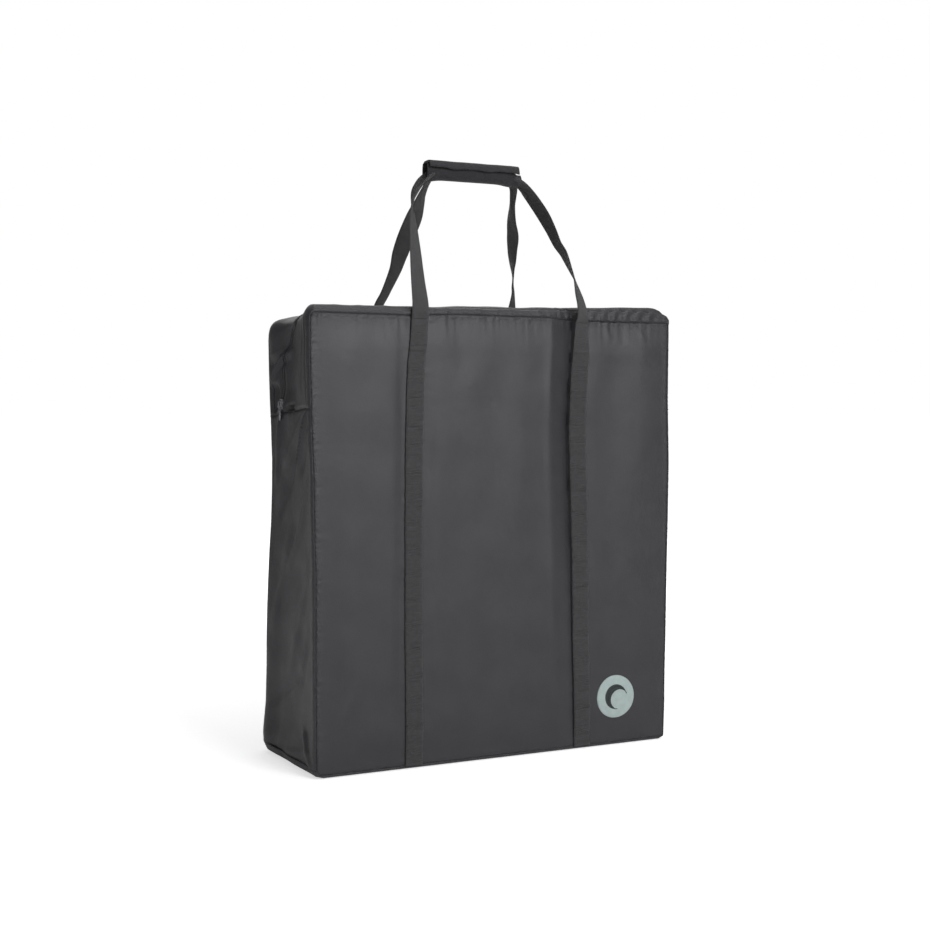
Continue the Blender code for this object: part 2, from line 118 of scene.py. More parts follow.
# How high the stuffed top stands above the lids' creases: x, then height
CROWN_X = [-0.26, -0.20, -0.127, -0.09, -0.05, 0.0, 0.05, 0.105, 0.187, 0.23, 0.262]
CROWN = [0.0, 0.0, 0.0005, 0.0020, 0.0045, 0.0055, 0.0056, 0.0066, 0.0090, 0.0104, 0.0112]

# Middle line of each sewn webbing, from the top seam down: x, z
SEWN_ROUTES = {
    "webbing_front_left": [
        (-0.1190, 0.6003), (-0.1223, 0.565), (-0.1255, 0.530), (-0.1282, 0.412),
        (-0.1289, 0.200), (-0.1274, 0.0045),
    ],
    "webbing_front_right": [
        (0.1308, 0.6003), (0.1292, 0.569), (0.1252, 0.520), (0.1222, 0.460),
        (0.1230, 0.405), (0.1260, 0.288), (0.1276, 0.140), (0.1306, 0.0045),
    ],
    "webbing_back_left": [
        (-0.1065, 0.6003), (-0.1080, 0.560), (-0.1100, 0.500), (-0.1104, 0.300),
        (-0.1098, 0.0045),
    ],
    "webbing_back_right": [
        (0.1130, 0.6003), (0.1128, 0.560), (0.1114, 0.500), (0.1100, 0.300),
        (0.1102, 0.0045),
    ],
}

# Free webbing, from the sewn webbing's top to inside the grip: x, y, z, turn in degrees, and curl in degrees
STRAP_ROUTES = {
    "strap_front_left": [
        (-0.1186, -0.0925, 0.6110, 3, 0), (-0.1171, -0.0885, 0.6240, 7, 0),
        (-0.1151, -0.0776, 0.6487, 16, 0), (-0.1125, -0.0669, 0.6703, 21, 0),
        (-0.1092, -0.0557, 0.6904, 26, 0), (-0.1037, -0.0361, 0.7281, 40, 0),
        (-0.1019, -0.0287, 0.7455, 50, 0), (-0.1008, -0.0251, 0.7611, 66, 0),
        (-0.0940, -0.0210, 0.7810, 92, 20), (-0.0848, -0.0180, 0.7940, 99, 75),
        (-0.0760, -0.0160, 0.8022, 101, 140), (-0.0660, -0.0140, 0.8075, 104, 200),
    ],
    "strap_front_right": [
        (0.1315, -0.0932, 0.6100, 22, 10), (0.1321, -0.0885, 0.6240, 31, 0),
        (0.1318, -0.0812, 0.6403, 38, 0), (0.1309, -0.0718, 0.6616, 55, 0),
        (0.1291, -0.0632, 0.6770, 66, 0), (0.1253, -0.0502, 0.7000, 80, 0),
        (0.1199, -0.0400, 0.7160, 87, 0), (0.1140, -0.0322, 0.7357, 96, 0),
        (0.1050, -0.0262, 0.7562, 105, 0), (0.0930, -0.0215, 0.7752, 106, 20),
        (0.0810, -0.0180, 0.7905, 104, 70), (0.0710, -0.0150, 0.8010, 100, 150),
        (0.0600, -0.0140, 0.8080, 95, 200),
    ],
    "strap_back_left": [
        (-0.1060, 0.0928, 0.6110, 14, 0), (-0.1052, 0.0865, 0.6282, 38, 0),
        (-0.0992, 0.0745, 0.6474, 39, 0), (-0.0925, 0.0545, 0.6780, 24, 0),
        (-0.0914, 0.0391, 0.7009, 2, 0), (-0.0888, 0.0253, 0.7224, -4, 0),
        (-0.0838, 0.0120, 0.7453, 2, 0), (-0.0782, 0.0040, 0.7659, 30, 30),
        (-0.0740, -0.0020, 0.7820, 50, 90), (-0.0710, -0.0065, 0.7950, 70, 140),
        (-0.0670, -0.0090, 0.8035, 85, 175), (-0.0600, -0.0100, 0.8085, 90, 200),
    ],
    "strap_back_right": [
        (0.1124, 0.0928, 0.6110, 16, 0), (0.1106, 0.0850, 0.6300, 36, 0),
        (0.1076, 0.0748, 0.6523, 54, 0), (0.1057, 0.0719, 0.6626, 57, 0),
        (0.1034, 0.0671, 0.6742, 60, 0), (0.0976, 0.0586, 0.6913, 73, 0),
        (0.0933, 0.0501, 0.7038, 85, 0), (0.0874, 0.0381, 0.7208, 93, 0),
        (0.0814, 0.0247, 0.7351, 95, 0), (0.0732, 0.0125, 0.7525, 85, 20),
        (0.0681, 0.0030, 0.7701, 77, 60), (0.0668, -0.0020, 0.7834, 75, 110),
        (0.0650, -0.0065, 0.7950, 80, 140), (0.0610, -0.0090, 0.8030, 88, 175),
        (0.0540, -0.0100, 0.8085, 90, 200),
    ],
}
WEB_PROFILE = np.array([-1, -0.94, -0.72, -0.48, -0.24, 0, 0.24, 0.48, 0.72, 0.94, 1])

# Creases of the front and back cloth: x and z of both ends, half width and height of the fold
FRONT_CREASES = [
    (0.080, 0.604, 0.0905, 0.020, 0.008, 0.0010),
    (0.168, 0.602, 0.180, 0.578, 0.004, 0.0006),
    (0.222, 0.602, 0.236, 0.576, 0.004, 0.0007),
    (0.196, 0.602, 0.202, 0.570, 0.005, -0.0005),
    (-0.060, 0.606, -0.052, 0.520, 0.012, -0.0007),
    (-0.146, 0.600, -0.150, 0.030, 0.009, -0.0012),
    (-0.106, 0.560, -0.110, 0.020, 0.009, -0.0011),
    (0.030, 0.590, 0.036, 0.120, 0.030, 0.0008),
    (-0.258, 0.020, -0.205, 0.130, 0.010, 0.0012),
    (0.250, 0.020, 0.215, 0.060, 0.010, 0.0008),
    (0.010, 0.008, 0.050, 0.090, 0.020, -0.0008),
]
BACK_CREASES = [
    (-0.060, 0.595, -0.048, 0.180, 0.014, -0.0026),
    (0.020, 0.600, 0.030, 0.320, 0.012, 0.0014),
    (0.150, 0.590, 0.168, 0.040, 0.014, -0.0024),
    (-0.205, 0.560, -0.195, 0.120, 0.016, 0.0018),
    (0.225, 0.600, 0.190, 0.500, 0.010, 0.0014),
    (-0.240, 0.020, -0.170, 0.110, 0.012, 0.0016),
    (0.060, 0.010, 0.110, 0.120, 0.014, 0.0014),
]

# Creases of the side cloth: y and z of both ends, half width and height
LEFT_CREASES = [
    (0.002, 0.606, 0.018, 0.484, 0.0360, -0.0085),
    (-0.070, 0.590, -0.064, 0.500, 0.0060, 0.0016),
    (-0.052, 0.585, -0.036, 0.490, 0.0050, 0.0016),
    (0.064, 0.606, 0.068, 0.552, 0.0200, 0.0060),
    (0.022, 0.560, 0.084, 0.524, 0.0040, 0.0052),
    (0.070, 0.518, 0.072, 0.480, 0.0100, -0.0080),
    (0.006, 0.4800, 0.036, 0.4790, 0.0036, -0.0105),
    (-0.080, 0.4735, -0.004, 0.396, 0.0034, 0.0056),
    (-0.086, 0.4600, -0.030, 0.390, 0.0080, -0.0030),
    (-0.040, 0.468, 0.046, 0.400, 0.0050, 0.0030),
    (0.050, 0.468, 0.074, 0.380, 0.0060, 0.0034),
    (-0.020, 0.430, 0.055, 0.330, 0.0100, -0.0036),
    (-0.066, 0.380, 0.030, 0.250, 0.0080, 0.0030),
    (-0.070, 0.290, 0.020, 0.120, 0.0100, 0.0028),
    (0.010, 0.320, 0.070, 0.180, 0.0100, 0.0026),
    (-0.070, 0.200, -0.030, 0.110, 0.0080, -0.0022),
    (-0.020, 0.130, 0.070, 0.070, 0.0090, -0.0028),
    (-0.080, 0.012, -0.040, 0.056, 0.0045, 0.0040),
    (-0.060, 0.030, 0.020, 0.012, 0.0070, 0.0026),
]
RIGHT_CREASES = [
    (-0.070, 0.470, -0.010, 0.400, 0.0060, 0.0036),
    (0.064, 0.474, 0.004, 0.390, 0.0070, 0.0034),
    (0.020, 0.360, -0.050, 0.220, 0.0100, -0.0030),
    (-0.050, 0.600, -0.046, 0.490, 0.0120, -0.0050),
    (0.048, 0.600, 0.052, 0.490, 0.0120, -0.0044),
    (-0.060, 0.160, 0.030, 0.040, 0.0100, 0.0034),
    (0.050, 0.240, 0.070, 0.060, 0.0100, 0.0028),
]
# Creases of the top cloth: x and y of both ends, half width and height
TOP_CREASES = [
    (0.138, -0.0925, 0.166, -0.068, 0.0036, 0.0016),
    (0.156, -0.0925, 0.186, -0.067, 0.0038, 0.0026),
    (0.174, -0.0925, 0.205, -0.066, 0.0040, 0.0032),
    (0.193, -0.0925, 0.225, -0.066, 0.0040, 0.0034),
    (0.212, -0.0925, 0.243, -0.067, 0.0040, 0.0032),
    (0.232, -0.0925, 0.258, -0.070, 0.0040, 0.0024),
    (0.094, -0.094, 0.102, -0.060, 0.0030, 0.0016),
    (0.105, -0.094, 0.116, -0.060, 0.0030, 0.0018),
    (0.060, -0.092, 0.070, -0.066, 0.0040, 0.0010),
    (0.020, -0.092, 0.026, -0.066, 0.0040, 0.0008),
    (-0.030, -0.092, -0.022, -0.066, 0.0050, 0.0010),
    (-0.080, -0.092, -0.070, -0.066, 0.0040, 0.0010),
    (-0.165, -0.092, -0.150, -0.040, 0.0050, 0.0006),
    (-0.205, -0.092, -0.185, -0.040, 0.0050, 0.0005),
    (-0.235, -0.088, -0.215, -0.036, 0.0060, 0.0005),
    (-0.200, -0.060, -0.120, -0.020, 0.0070, 0.0006),
    (0.020, -0.060, 0.140, -0.022, 0.0080, -0.0016),
    (-0.180, 0.088, -0.150, 0.030, 0.0070, 0.0022),
    (-0.060, 0.088, -0.040, 0.040, 0.0070, 0.0018),
    (0.070, 0.088, 0.120, 0.024, 0.0080, -0.0014),
    (0.190, 0.088, 0.170, 0.040, 0.0070, 0.0022),
    (-0.100, 0.050, 0.020, 0.026, 0.0090, -0.0018),
]


# ---------------------------------------------------------------------------
# Sizes and colours that a user would change
# ---------------------------------------------------------------------------

class PlaypenSizes(bpy.types.PropertyGroup):
    """Sizes of the cloth, webbing and sewing."""

    cloth: bpy.props.FloatProperty(
        name="Cloth", description="Thickness of the bag cloth with its lining", default=0.0013, unit="LENGTH")
    grid: bpy.props.FloatProperty(
        name="Cloth grid", description="Spacing of the cloth's mesh", default=0.0027, unit="LENGTH")
    pucker: bpy.props.FloatProperty(
        name="Puckers", description="Height of the puckers beside a seam", default=0.0010, unit="LENGTH")
    pucker_pitch: bpy.props.FloatProperty(
        name="Pucker pitch", description="Distance between puckers along a seam",
        default=0.0085, unit="LENGTH")
    sag: bpy.props.FloatProperty(
        name="Side sag", description="How far the sides cave in between the panels",
        default=0.0075, unit="LENGTH")
    web_width: bpy.props.FloatProperty(
        name="Webbing width", description="Width of the webbing", default=0.0250, unit="LENGTH")
    web_thick: bpy.props.FloatProperty(
        name="Webbing thickness", description="Thickness of the webbing", default=0.0018, unit="LENGTH")
    ruche: bpy.props.FloatProperty(
        name="Webbing ruche", description="Height of the gathers in the sewn webbing",
        default=0.0012, unit="LENGTH")
    ruche_pitch: bpy.props.FloatProperty(
        name="Ruche pitch", description="Distance between gathers", default=0.0046, unit="LENGTH")
    stitch_pitch: bpy.props.FloatProperty(
        name="Stitch pitch", description="Distance between stitches", default=0.0040, unit="LENGTH")
    stitch_radius: bpy.props.FloatProperty(
        name="Thread", description="Radius of the sewing thread", default=0.00035, unit="LENGTH")
    tooth_pitch: bpy.props.FloatProperty(
        name="Zip pitch", description="Distance between turns of the zip coil", default=0.0028, unit="LENGTH")
    zip_gap: bpy.props.FloatProperty(
        name="Zip opening", description="Zip's middle line to the cloth's edge",
        default=0.0052, unit="LENGTH")


class PlaypenColours(bpy.types.PropertyGroup):
    """Colours, as sRGB hex values."""

    cloth: bpy.props.StringProperty(
        name="Cloth", description="Coated polyester of the bag", default="#343337")
    webbing: bpy.props.StringProperty(name="Webbing", description="Polypropylene webbing", default="#3C3C3E")
    padding: bpy.props.StringProperty(name="Grip", description="Padded cloth of the grip", default="#29292C")
    coil: bpy.props.StringProperty(name="Zip", description="Nylon coil of the zip", default="#2B2A2E")
    slider: bpy.props.StringProperty(
        name="Slider", description="Painted zinc of the slider", default="#9A9A9E")
    badge: bpy.props.StringProperty(name="Badge", description="Ground of the badge", default="#AEBDBB")
    mark: bpy.props.StringProperty(
        name="Badge mark", description="Plain mark on the badge", default="#34393A")
    ticking: bpy.props.StringProperty(name="Mattress", description="Mattress cloth", default="#A3A3A8")
    netting: bpy.props.StringProperty(
        name="Netting", description="Netting of the playpen's walls", default="#4B4B50")
    tube: bpy.props.StringProperty(
        name="Frame", description="Powder coat of the frame tubes", default="#8A8A8E")
    floor: bpy.props.StringProperty(name="Floor", description="Studio floor", default="#F2F2F3")


# ---------------------------------------------------------------------------
# Materials
# ---------------------------------------------------------------------------

def linear(hex_colour):
    """An sRGB hex value as linear RGBA."""
    channels = [int(hex_colour[i:i + 2], 16) / 255 for i in (1, 3, 5)]
    curve = [c / 12.92 if c <= 0.04045 else ((c + 0.055) / 1.055) ** 2.4 for c in channels]
    return (*curve, 1.0)


def tinted(hex_colour, factor):
    """A lighter or darker version of a colour, as linear RGBA."""
    red, green, blue, alpha = linear(hex_colour)
    return (red * factor, green * factor, blue * factor, alpha)


def node(tree, kind, inputs=None, **settings):
    """Add a node, set its properties, and set or link its inputs."""
    made = tree.nodes.new(kind)
    for name, value in settings.items():
        setattr(made, name, value)
    for key, value in (inputs or {}).items():
        socket = made.inputs[key]
        if isinstance(value, bpy.types.NodeSocket):
            tree.links.new(value, socket)
        else:
            socket.default_value = value
    return made


def surface(name, constants):
    """A new material, its tree and its Principled shader with constant inputs set."""
    made = bpy.data.materials.new(name)
    made.use_nodes = True
    tree = made.node_tree
    shader = tree.nodes["Principled BSDF"]
    for key, value in constants.items():
        shader.inputs[key].default_value = value
    return made, tree, shader


def cloth_coordinates(tree, use_uv=True):
    """Coordinates in metres: the piece's own UV map, or its place."""
    source = node(tree, "ShaderNodeTexCoord")
    return source.outputs["UV" if use_uv else "Object"]


def woven_height(tree, where, across_mm, along_mm):
    """Height of a plain weave: two crossed rows of threads."""
    turned = []
    for direction, pitch in (("X", across_mm), ("Y", along_mm)):
        wave = node(
            tree, "ShaderNodeTexWave", {"Vector": where, "Scale": 1000.0 * math.pi / (10.0 * pitch)},
            wave_type="BANDS", bands_direction=direction, wave_profile="SIN",
        )
        turned.append(wave.outputs["Fac"])
    return node(tree, "ShaderNodeMath", {0: turned[0], 1: turned[1]}, operation="MULTIPLY").outputs[0]


def noise(tree, where, lump_mm, detail, roughness=0.5):
    """Soft noise with lumps of about that size."""
    return node(tree, "ShaderNodeTexNoise", {
        "Vector": where, "Scale": 1000.0 / lump_mm, "Detail": detail, "Roughness": roughness,
    }).outputs["Fac"]


def painted(tree, shader, where, hex_colour, shades, patch_mm, roughness=None):
    """Colour that drifts between two shades in soft patches, and roughness that drifts with it."""
    patches = noise(tree, where, patch_mm, 4.0, 0.6)
    blend = node(tree, "ShaderNodeValToRGB", {"Fac": patches})
    light, dark = (tinted(hex_colour, shade) for shade in shades)
    for element, position, colour in zip(blend.color_ramp.elements, (0.38, 0.62), (dark, light)):
        element.position = position
        element.color = colour
    tree.links.new(blend.outputs["Color"], shader.inputs["Base Color"])
    if roughness:
        drift = node(tree, "ShaderNodeMapRange", {
            "Value": patches, "From Min": 0.3, "From Max": 0.7,
            "To Min": roughness[0], "To Max": roughness[1],
        })
        tree.links.new(drift.outputs["Result"], shader.inputs["Roughness"])


def bumped(tree, shader, height, distance, strength, under=None):
    """Send a height through a Bump node to a shader's normal, over another bump if one is given."""
    inputs = {"Height": height, "Distance": distance, "Strength": strength}
    if under is not None:
        inputs["Normal"] = under
    bump = node(tree, "ShaderNodeBump", inputs)
    tree.links.new(bump.outputs["Normal"], shader.inputs["Normal"])
    return bump.outputs["Normal"]


def coated_polyester(colours):
    """Plain-woven polyester with a thin coat: a faint satin bloom over fine threads, duller where rubbed."""
    made, tree, shader = surface("woven coated polyester", {
        "IOR": 1.48, "Sheen Weight": 0.08, "Sheen Roughness": 0.45, "Specular IOR Level": 0.55,
    })
    where = cloth_coordinates(tree)
    painted(tree, shader, where, colours.cloth, (1.06, 0.92), 45, (0.42, 0.50))
    # real threads are 0.35 mm apart; they are drawn 1.1 mm apart so that they show
    weave = woven_height(tree, where, 1.1, 1.1)
    under = bumped(tree, shader, noise(tree, where, 26, 3.0), 0.0012, 0.35)
    # fine puckers that the stitching leaves beside a seam, about 4 mm long
    seam = node(tree, "ShaderNodeAttribute", attribute_name="near_seam")
    fine = noise(tree, where, 4.5, 2.0)
    puckers = node(tree, "ShaderNodeMath", {0: fine, 1: seam.outputs["Fac"]}, operation="MULTIPLY")
    under = bumped(tree, shader, puckers.outputs[0], 0.0040, 0.55, under)
    bumped(tree, shader, weave, 0.00018, 0.45, under)
    return made


def polypropylene_webbing(colours):
    """Woven polypropylene webbing: thick crosswise ribs, a little shine on each thread."""
    made, tree, shader = surface("woven polypropylene webbing", {
        "IOR": 1.49, "Sheen Weight": 0.15, "Sheen Roughness": 0.5, "Specular IOR Level": 0.45,
    })
    where = cloth_coordinates(tree)
    painted(tree, shader, where, colours.webbing, (1.15, 0.85), 6, (0.48, 0.62))
    # the ribs of 25 mm webbing are 1.3 mm apart, and its long threads about 1.6 mm
    weave = woven_height(tree, where, 1.6, 1.3)
    bumped(tree, shader, weave, 0.0007, 1.0)
    return made


def padded_polyester(colours):
    """Soft brushed polyester over foam: matt, with a short nap and shallow wrinkles."""
    made, tree, shader = surface("brushed padded polyester", {
        "IOR": 1.46, "Sheen Weight": 0.25, "Sheen Roughness": 0.55, "Specular IOR Level": 0.3,
    })
    where = cloth_coordinates(tree)
    painted(tree, shader, where, colours.padding, (1.18, 0.80), 9, (0.66, 0.82))
    under = bumped(tree, shader, noise(tree, where, 7, 3.0), 0.0010, 0.5)
    bumped(tree, shader, noise(tree, where, 1.2, 2.0), 0.0003, 0.6, under)
    return made


def nylon_coil(colours):
    """Drawn nylon filament wound to a coil: smooth, with a small tight highlight on each turn."""
    made, tree, shader = surface("drawn nylon coil", {"IOR": 1.53, "Roughness": 0.34})
    where = cloth_coordinates(tree, use_uv=False)
    painted(tree, shader, where, colours.coil, (1.5, 0.9), 5)
    return made


def zip_tape(colours):
    """Woven polyester tape of the zip: dull, with lengthwise cords."""
    made, tree, shader = surface("woven zip tape", {
        "IOR": 1.48, "Sheen Weight": 0.1, "Specular IOR Level": 0.3,
    })
    where = cloth_coordinates(tree)
    painted(tree, shader, where, colours.coil, (1.5, 1.0), 8, (0.68, 0.82))
    bumped(tree, shader, woven_height(tree, where, 1.0, 1.0), 0.0003, 0.6)
    return made


def painted_zinc(colours):
    """Cast zinc with a thin gunmetal paint: soft metal shine, lighter where the paint is worn."""
    made, tree, shader = surface("cast zinc gunmetal paint", {"Metallic": 0.45})
    where = cloth_coordinates(tree, use_uv=False)
    painted(tree, shader, where, colours.slider, (1.6, 0.8), 3, (0.30, 0.46))
    return made


def polyester_thread(colours):
    """Twisted polyester sewing thread: a dull sheen, a shade darker than the webbing."""
    made, tree, shader = surface("twisted polyester thread", {
        "IOR": 1.5, "Roughness": 0.55, "Sheen Weight": 0.2,
    })
    where = cloth_coordinates(tree, use_uv=False)
    painted(tree, shader, where, colours.webbing, (1.25, 0.75), 4)
    return made


def printed_film(shade, name):
    """Screen-printed ink on a soft film: even, matt, with a faint weave telegraphing through."""
    made, tree, shader = surface(name, {"IOR": 1.47, "Specular IOR Level": 0.35})
    where = cloth_coordinates(tree, use_uv=False)
    painted(tree, shader, where, shade, (1.04, 0.95), 9, (0.52, 0.62))
    bumped(tree, shader, noise(tree, where, 1.5, 2.0), 0.0002, 0.35)
    return made


def hook_and_loop(colours):
    """Hook-and-loop tape: a matt pile with no shine."""
    made, tree, shader = surface("moulded hook and loop pile", {"Roughness": 0.95, "Specular IOR Level": 0.2})
    where = cloth_coordinates(tree, use_uv=False)
    painted(tree, shader, where, colours.coil, (1.2, 0.6), 1.5)
    pile = node(tree, "ShaderNodeTexVoronoi", {"Vector": where, "Scale": 1000.0 / 1.4})
    bumped(tree, shader, pile.outputs["Distance"], 0.0006, 0.9)
    return made


def mattress_ticking(colours):
    """Knitted polyester ticking: pale, matt, with a soft melange."""
    made, tree, shader = surface("knitted polyester ticking", {
        "IOR": 1.46, "Sheen Weight": 0.2, "Sheen Roughness": 0.5, "Specular IOR Level": 0.25,
    })
    where = cloth_coordinates(tree, use_uv=False)
    painted(tree, shader, where, colours.ticking, (1.1, 0.85), 2.5, (0.78, 0.9))
    bumped(tree, shader, noise(tree, where, 1.6, 2.0), 0.0004, 0.5)
    return made


def polyester_netting(colours):
    """Warp-knitted netting, folded so thick that its holes close: matt, dark and grainy, with painted shade
    in each hole.
    """
    made, tree, shader = surface("knitted polyester netting", {
        "IOR": 1.46, "Roughness": 0.85, "Sheen Weight": 0.2, "Specular IOR Level": 0.25,
    })
    where = cloth_coordinates(tree)
    holes = node(tree, "ShaderNodeTexVoronoi", {"Vector": where, "Scale": 1000.0 / 2.2})
    # painted shade: the colour darkens towards the middle of each hole
    ramp = node(tree, "ShaderNodeValToRGB", {"Fac": holes.outputs["Distance"]})
    ramp.color_ramp.elements[0].color = tinted(colours.netting, 0.45)
    ramp.color_ramp.elements[1].position = 0.6
    ramp.color_ramp.elements[1].color = tinted(colours.netting, 1.2)
    tree.links.new(ramp.outputs["Color"], shader.inputs["Base Color"])
    bumped(tree, shader, holes.outputs["Distance"], 0.0006, 0.7)
    return made


def powder_coated_steel(colours):
    """Steel tube with a matt powder coat: fine orange peel, small scuffs."""
    made, tree, shader = surface("powder coated steel", {"IOR": 1.5, "Specular IOR Level": 0.5})
    where = cloth_coordinates(tree, use_uv=False)
    painted(tree, shader, where, colours.tube, (1.05, 0.92), 30, (0.38, 0.5))
    bumped(tree, shader, noise(tree, where, 1.4, 2.0), 0.0002, 0.4)
    return made


def moulded_polypropylene(colours):
    """Injection-moulded polypropylene with a spark-eroded grain."""
    made, tree, shader = surface("moulded polypropylene", {"IOR": 1.49})
    where = cloth_coordinates(tree, use_uv=False)
    painted(tree, shader, where, colours.coil, (1.5, 1.1), 25, (0.5, 0.62))
    bumped(tree, shader, noise(tree, where, 0.9, 2.0), 0.0002, 0.5)
    return made


def vulcanised_rubber(colours):
    """Moulded rubber of the feet: deep matt black with dust in the grain."""
    made, tree, shader = surface("moulded rubber", {"IOR": 1.52, "Specular IOR Level": 0.35})
    where = cloth_coordinates(tree, use_uv=False)
    painted(tree, shader, where, colours.coil, (0.8, 0.5), 6, (0.75, 0.9))
    return made


def studio_paper(colours):
    """White background paper: it shines for the camera, so that it stays white, and little on the bag."""
    made, tree, shader = surface("matt background paper", {"Roughness": 0.95, "Specular IOR Level": 0.1})
    shader.inputs["Base Color"].default_value = linear(colours.floor)
    shader.inputs["Emission Color"].default_value = (1.0, 1.0, 1.0, 1.0)
    where = cloth_coordinates(tree, use_uv=False)
    away = node(tree, "ShaderNodeVectorMath", {0: where}, operation="LENGTH")
    glow = node(tree, "ShaderNodeMapRange", {
        "Value": away.outputs["Value"], "From Min": 0.40, "From Max": 1.6, "To Min": 0.62, "To Max": 1.0,
    }, interpolation_type="SMOOTHSTEP")
    path = node(tree, "ShaderNodeLightPath")
    seen = node(tree, "ShaderNodeMapRange", {
        "Value": path.outputs["Is Camera Ray"], "To Min": 0.12, "To Max": 1.0,
    })
    strength = node(
        tree, "ShaderNodeMath", {0: glow.outputs["Result"], 1: seen.outputs["Result"]}, operation="MULTIPLY")
    tree.links.new(strength.outputs[0], shader.inputs["Emission Strength"])
    return made


MAKERS = {
    "cloth": coated_polyester,
    "webbing": polypropylene_webbing,
    "padding": padded_polyester,
    "coil": nylon_coil,
    "tape": zip_tape,
    "zinc": painted_zinc,
    "thread": polyester_thread,
    "badge": lambda colours: printed_film(colours.badge, "printed ground film"),
    "mark": lambda colours: printed_film(colours.mark, "printed mark ink"),
    "pile": hook_and_loop,
    "ticking": mattress_ticking,
    "netting": polyester_netting,
    "steel": powder_coated_steel,
    "moulding": moulded_polypropylene,
    "rubber": vulcanised_rubber,
    "paper": studio_paper,
}
_made_materials = {}


def material(key):
    """The material of that stuff, made once."""
    if key not in _made_materials:
        _made_materials[key] = MAKERS[key](bpy.context.scene.playpen_colours)
    return _made_materials[key]


# ---------------------------------------------------------------------------
# Meshes
# ---------------------------------------------------------------------------

def link(name, mesh):
    """A new object at the origin."""
    made = bpy.data.objects.new(name, mesh)
    bpy.context.scene.collection.objects.link(made)
    return made


def smooth(mesh, angle=50):
    """Smooth shading, with sharp edges kept."""
    mesh.shade_smooth()
    mesh.set_sharp_from_angle(angle=math.radians(angle))


def grid_object(name, points, uv, stuff, closed_rows=False):
    """A sheet from a grid of points, with a UV map in metres."""
    rows, columns = points.shape[:2]
    corners = np.arange(rows * columns).reshape(rows, columns)
    if closed_rows:
        corners = np.concatenate([corners, corners[:1]])
    faces = np.stack(
        [corners[:-1, :-1], corners[:-1, 1:], corners[1:, 1:], corners[1:, :-1]], axis=-1).reshape(-1, 4)
    mesh = bpy.data.meshes.new(name)
    mesh.from_pydata(points.reshape(-1, 3).tolist(), [], faces.tolist())
    layer = mesh.uv_layers.new(name="UVMap")
    loops = np.zeros(len(mesh.loops), dtype=np.int32)
    mesh.loops.foreach_get("vertex_index", loops)
    layer.data.foreach_set("uv", uv.reshape(-1, 2)[loops].astype(np.float32).ravel())
    mesh.materials.append(material(stuff))
    smooth(mesh, 70)
    return link(name, mesh)


def settle(item):
    """Turn an object with modifiers into a plain mesh."""
    bpy.context.view_layer.update()
    evaluated = item.evaluated_get(bpy.context.evaluated_depsgraph_get())
    mesh = bpy.data.meshes.new_from_object(evaluated)
    item.modifiers.clear()
    item.data = mesh
    return item


def thicken(item, thickness, outside=False):
    """Give a sheet its thickness."""
    solid = item.modifiers.new("cloth_thickness", "SOLIDIFY")
    solid.thickness = thickness
    solid.offset = 1.0 if outside else -1.0
    solid.use_rim = True
    return settle(item)


def turn_outward(item, centre):
    """Flip a sheet whose faces look towards a centre."""
    mesh = item.data
    built = bmesh.new()
    built.from_mesh(mesh)
    total = 0.0
    for face in built.faces:
        total += face.normal.dot(face.calc_center_median() - Vector(centre)) * face.calc_area()
    if total < 0:
        bmesh.ops.reverse_faces(built, faces=built.faces)
    built.to_mesh(mesh)
    built.free()
    return item


def loft_object(name, rings, stuff, uv=None, caps=True):
    """A closed tube of rings, with its ends capped."""
    count, around = rings.shape[:2]
    built = bmesh.new()
    layer = built.loops.layers.uv.new("UVMap")
    verts = [[built.verts.new(point) for point in ring] for ring in rings.tolist()]
    for row in range(count - 1):
        for step in range(around):
            after = (step + 1) % around
            face = built.faces.new((
                verts[row][step], verts[row][after], verts[row + 1][after], verts[row + 1][step]))
            if uv is not None:
                places = ((row, step), (row, step + 1), (row + 1, step + 1), (row + 1, step))
                for loop, (at_row, at_step) in zip(face.loops, places):
                    loop[layer].uv = uv[at_row, at_step]
    if caps:
        built.faces.new(verts[0])
        built.faces.new(verts[-1])
    bmesh.ops.recalc_face_normals(built, faces=built.faces)
    mesh = bpy.data.meshes.new(name)
    built.to_mesh(mesh)
    built.free()
    mesh.materials.append(material(stuff))
    smooth(mesh, 60)
    return link(name, mesh)


def ride(item, body, slot, *nodes):
    """Put a finished piece on its body, in place of its CAD nodes; the slot is not used."""
    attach(item, body)
    if nodes:
        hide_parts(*nodes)
    return item


def stretch(item, bodies, start, end, slot, *nodes):
    """Bake a finished piece's place into its mesh, in place of its CAD nodes; the bodies are not used."""
    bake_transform(item)
    if nodes:
        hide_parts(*nodes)
    return item


# ---------------------------------------------------------------------------
# Geometry Nodes: what repeats along a line, and a bead along a line
# ---------------------------------------------------------------------------

def group_with(name, sockets):
    """A geometry node tree with named inputs; returns the tree, its input node and its output node."""
    tree = bpy.data.node_groups.new(name, "GeometryNodeTree")
    tree.interface.new_socket("Geometry", in_out="INPUT", socket_type="NodeSocketGeometry")
    for label, kind in sockets:
        tree.interface.new_socket(label, in_out="INPUT", socket_type=kind)
    tree.interface.new_socket("Geometry", in_out="OUTPUT", socket_type="NodeSocketGeometry")
    return tree, tree.nodes.new("NodeGroupInput"), tree.nodes.new("NodeGroupOutput")


def finish_group(tree, geometry, stuff, output):
    """End a tree in Realize Instances and Set Material."""
    real = node(tree, "GeometryNodeRealizeInstances", {"Geometry": geometry})
    painted = node(tree, "GeometryNodeSetMaterial", {"Geometry": real.outputs[0], "Material": stuff})
    tree.links.new(painted.outputs[0], output.inputs[0])


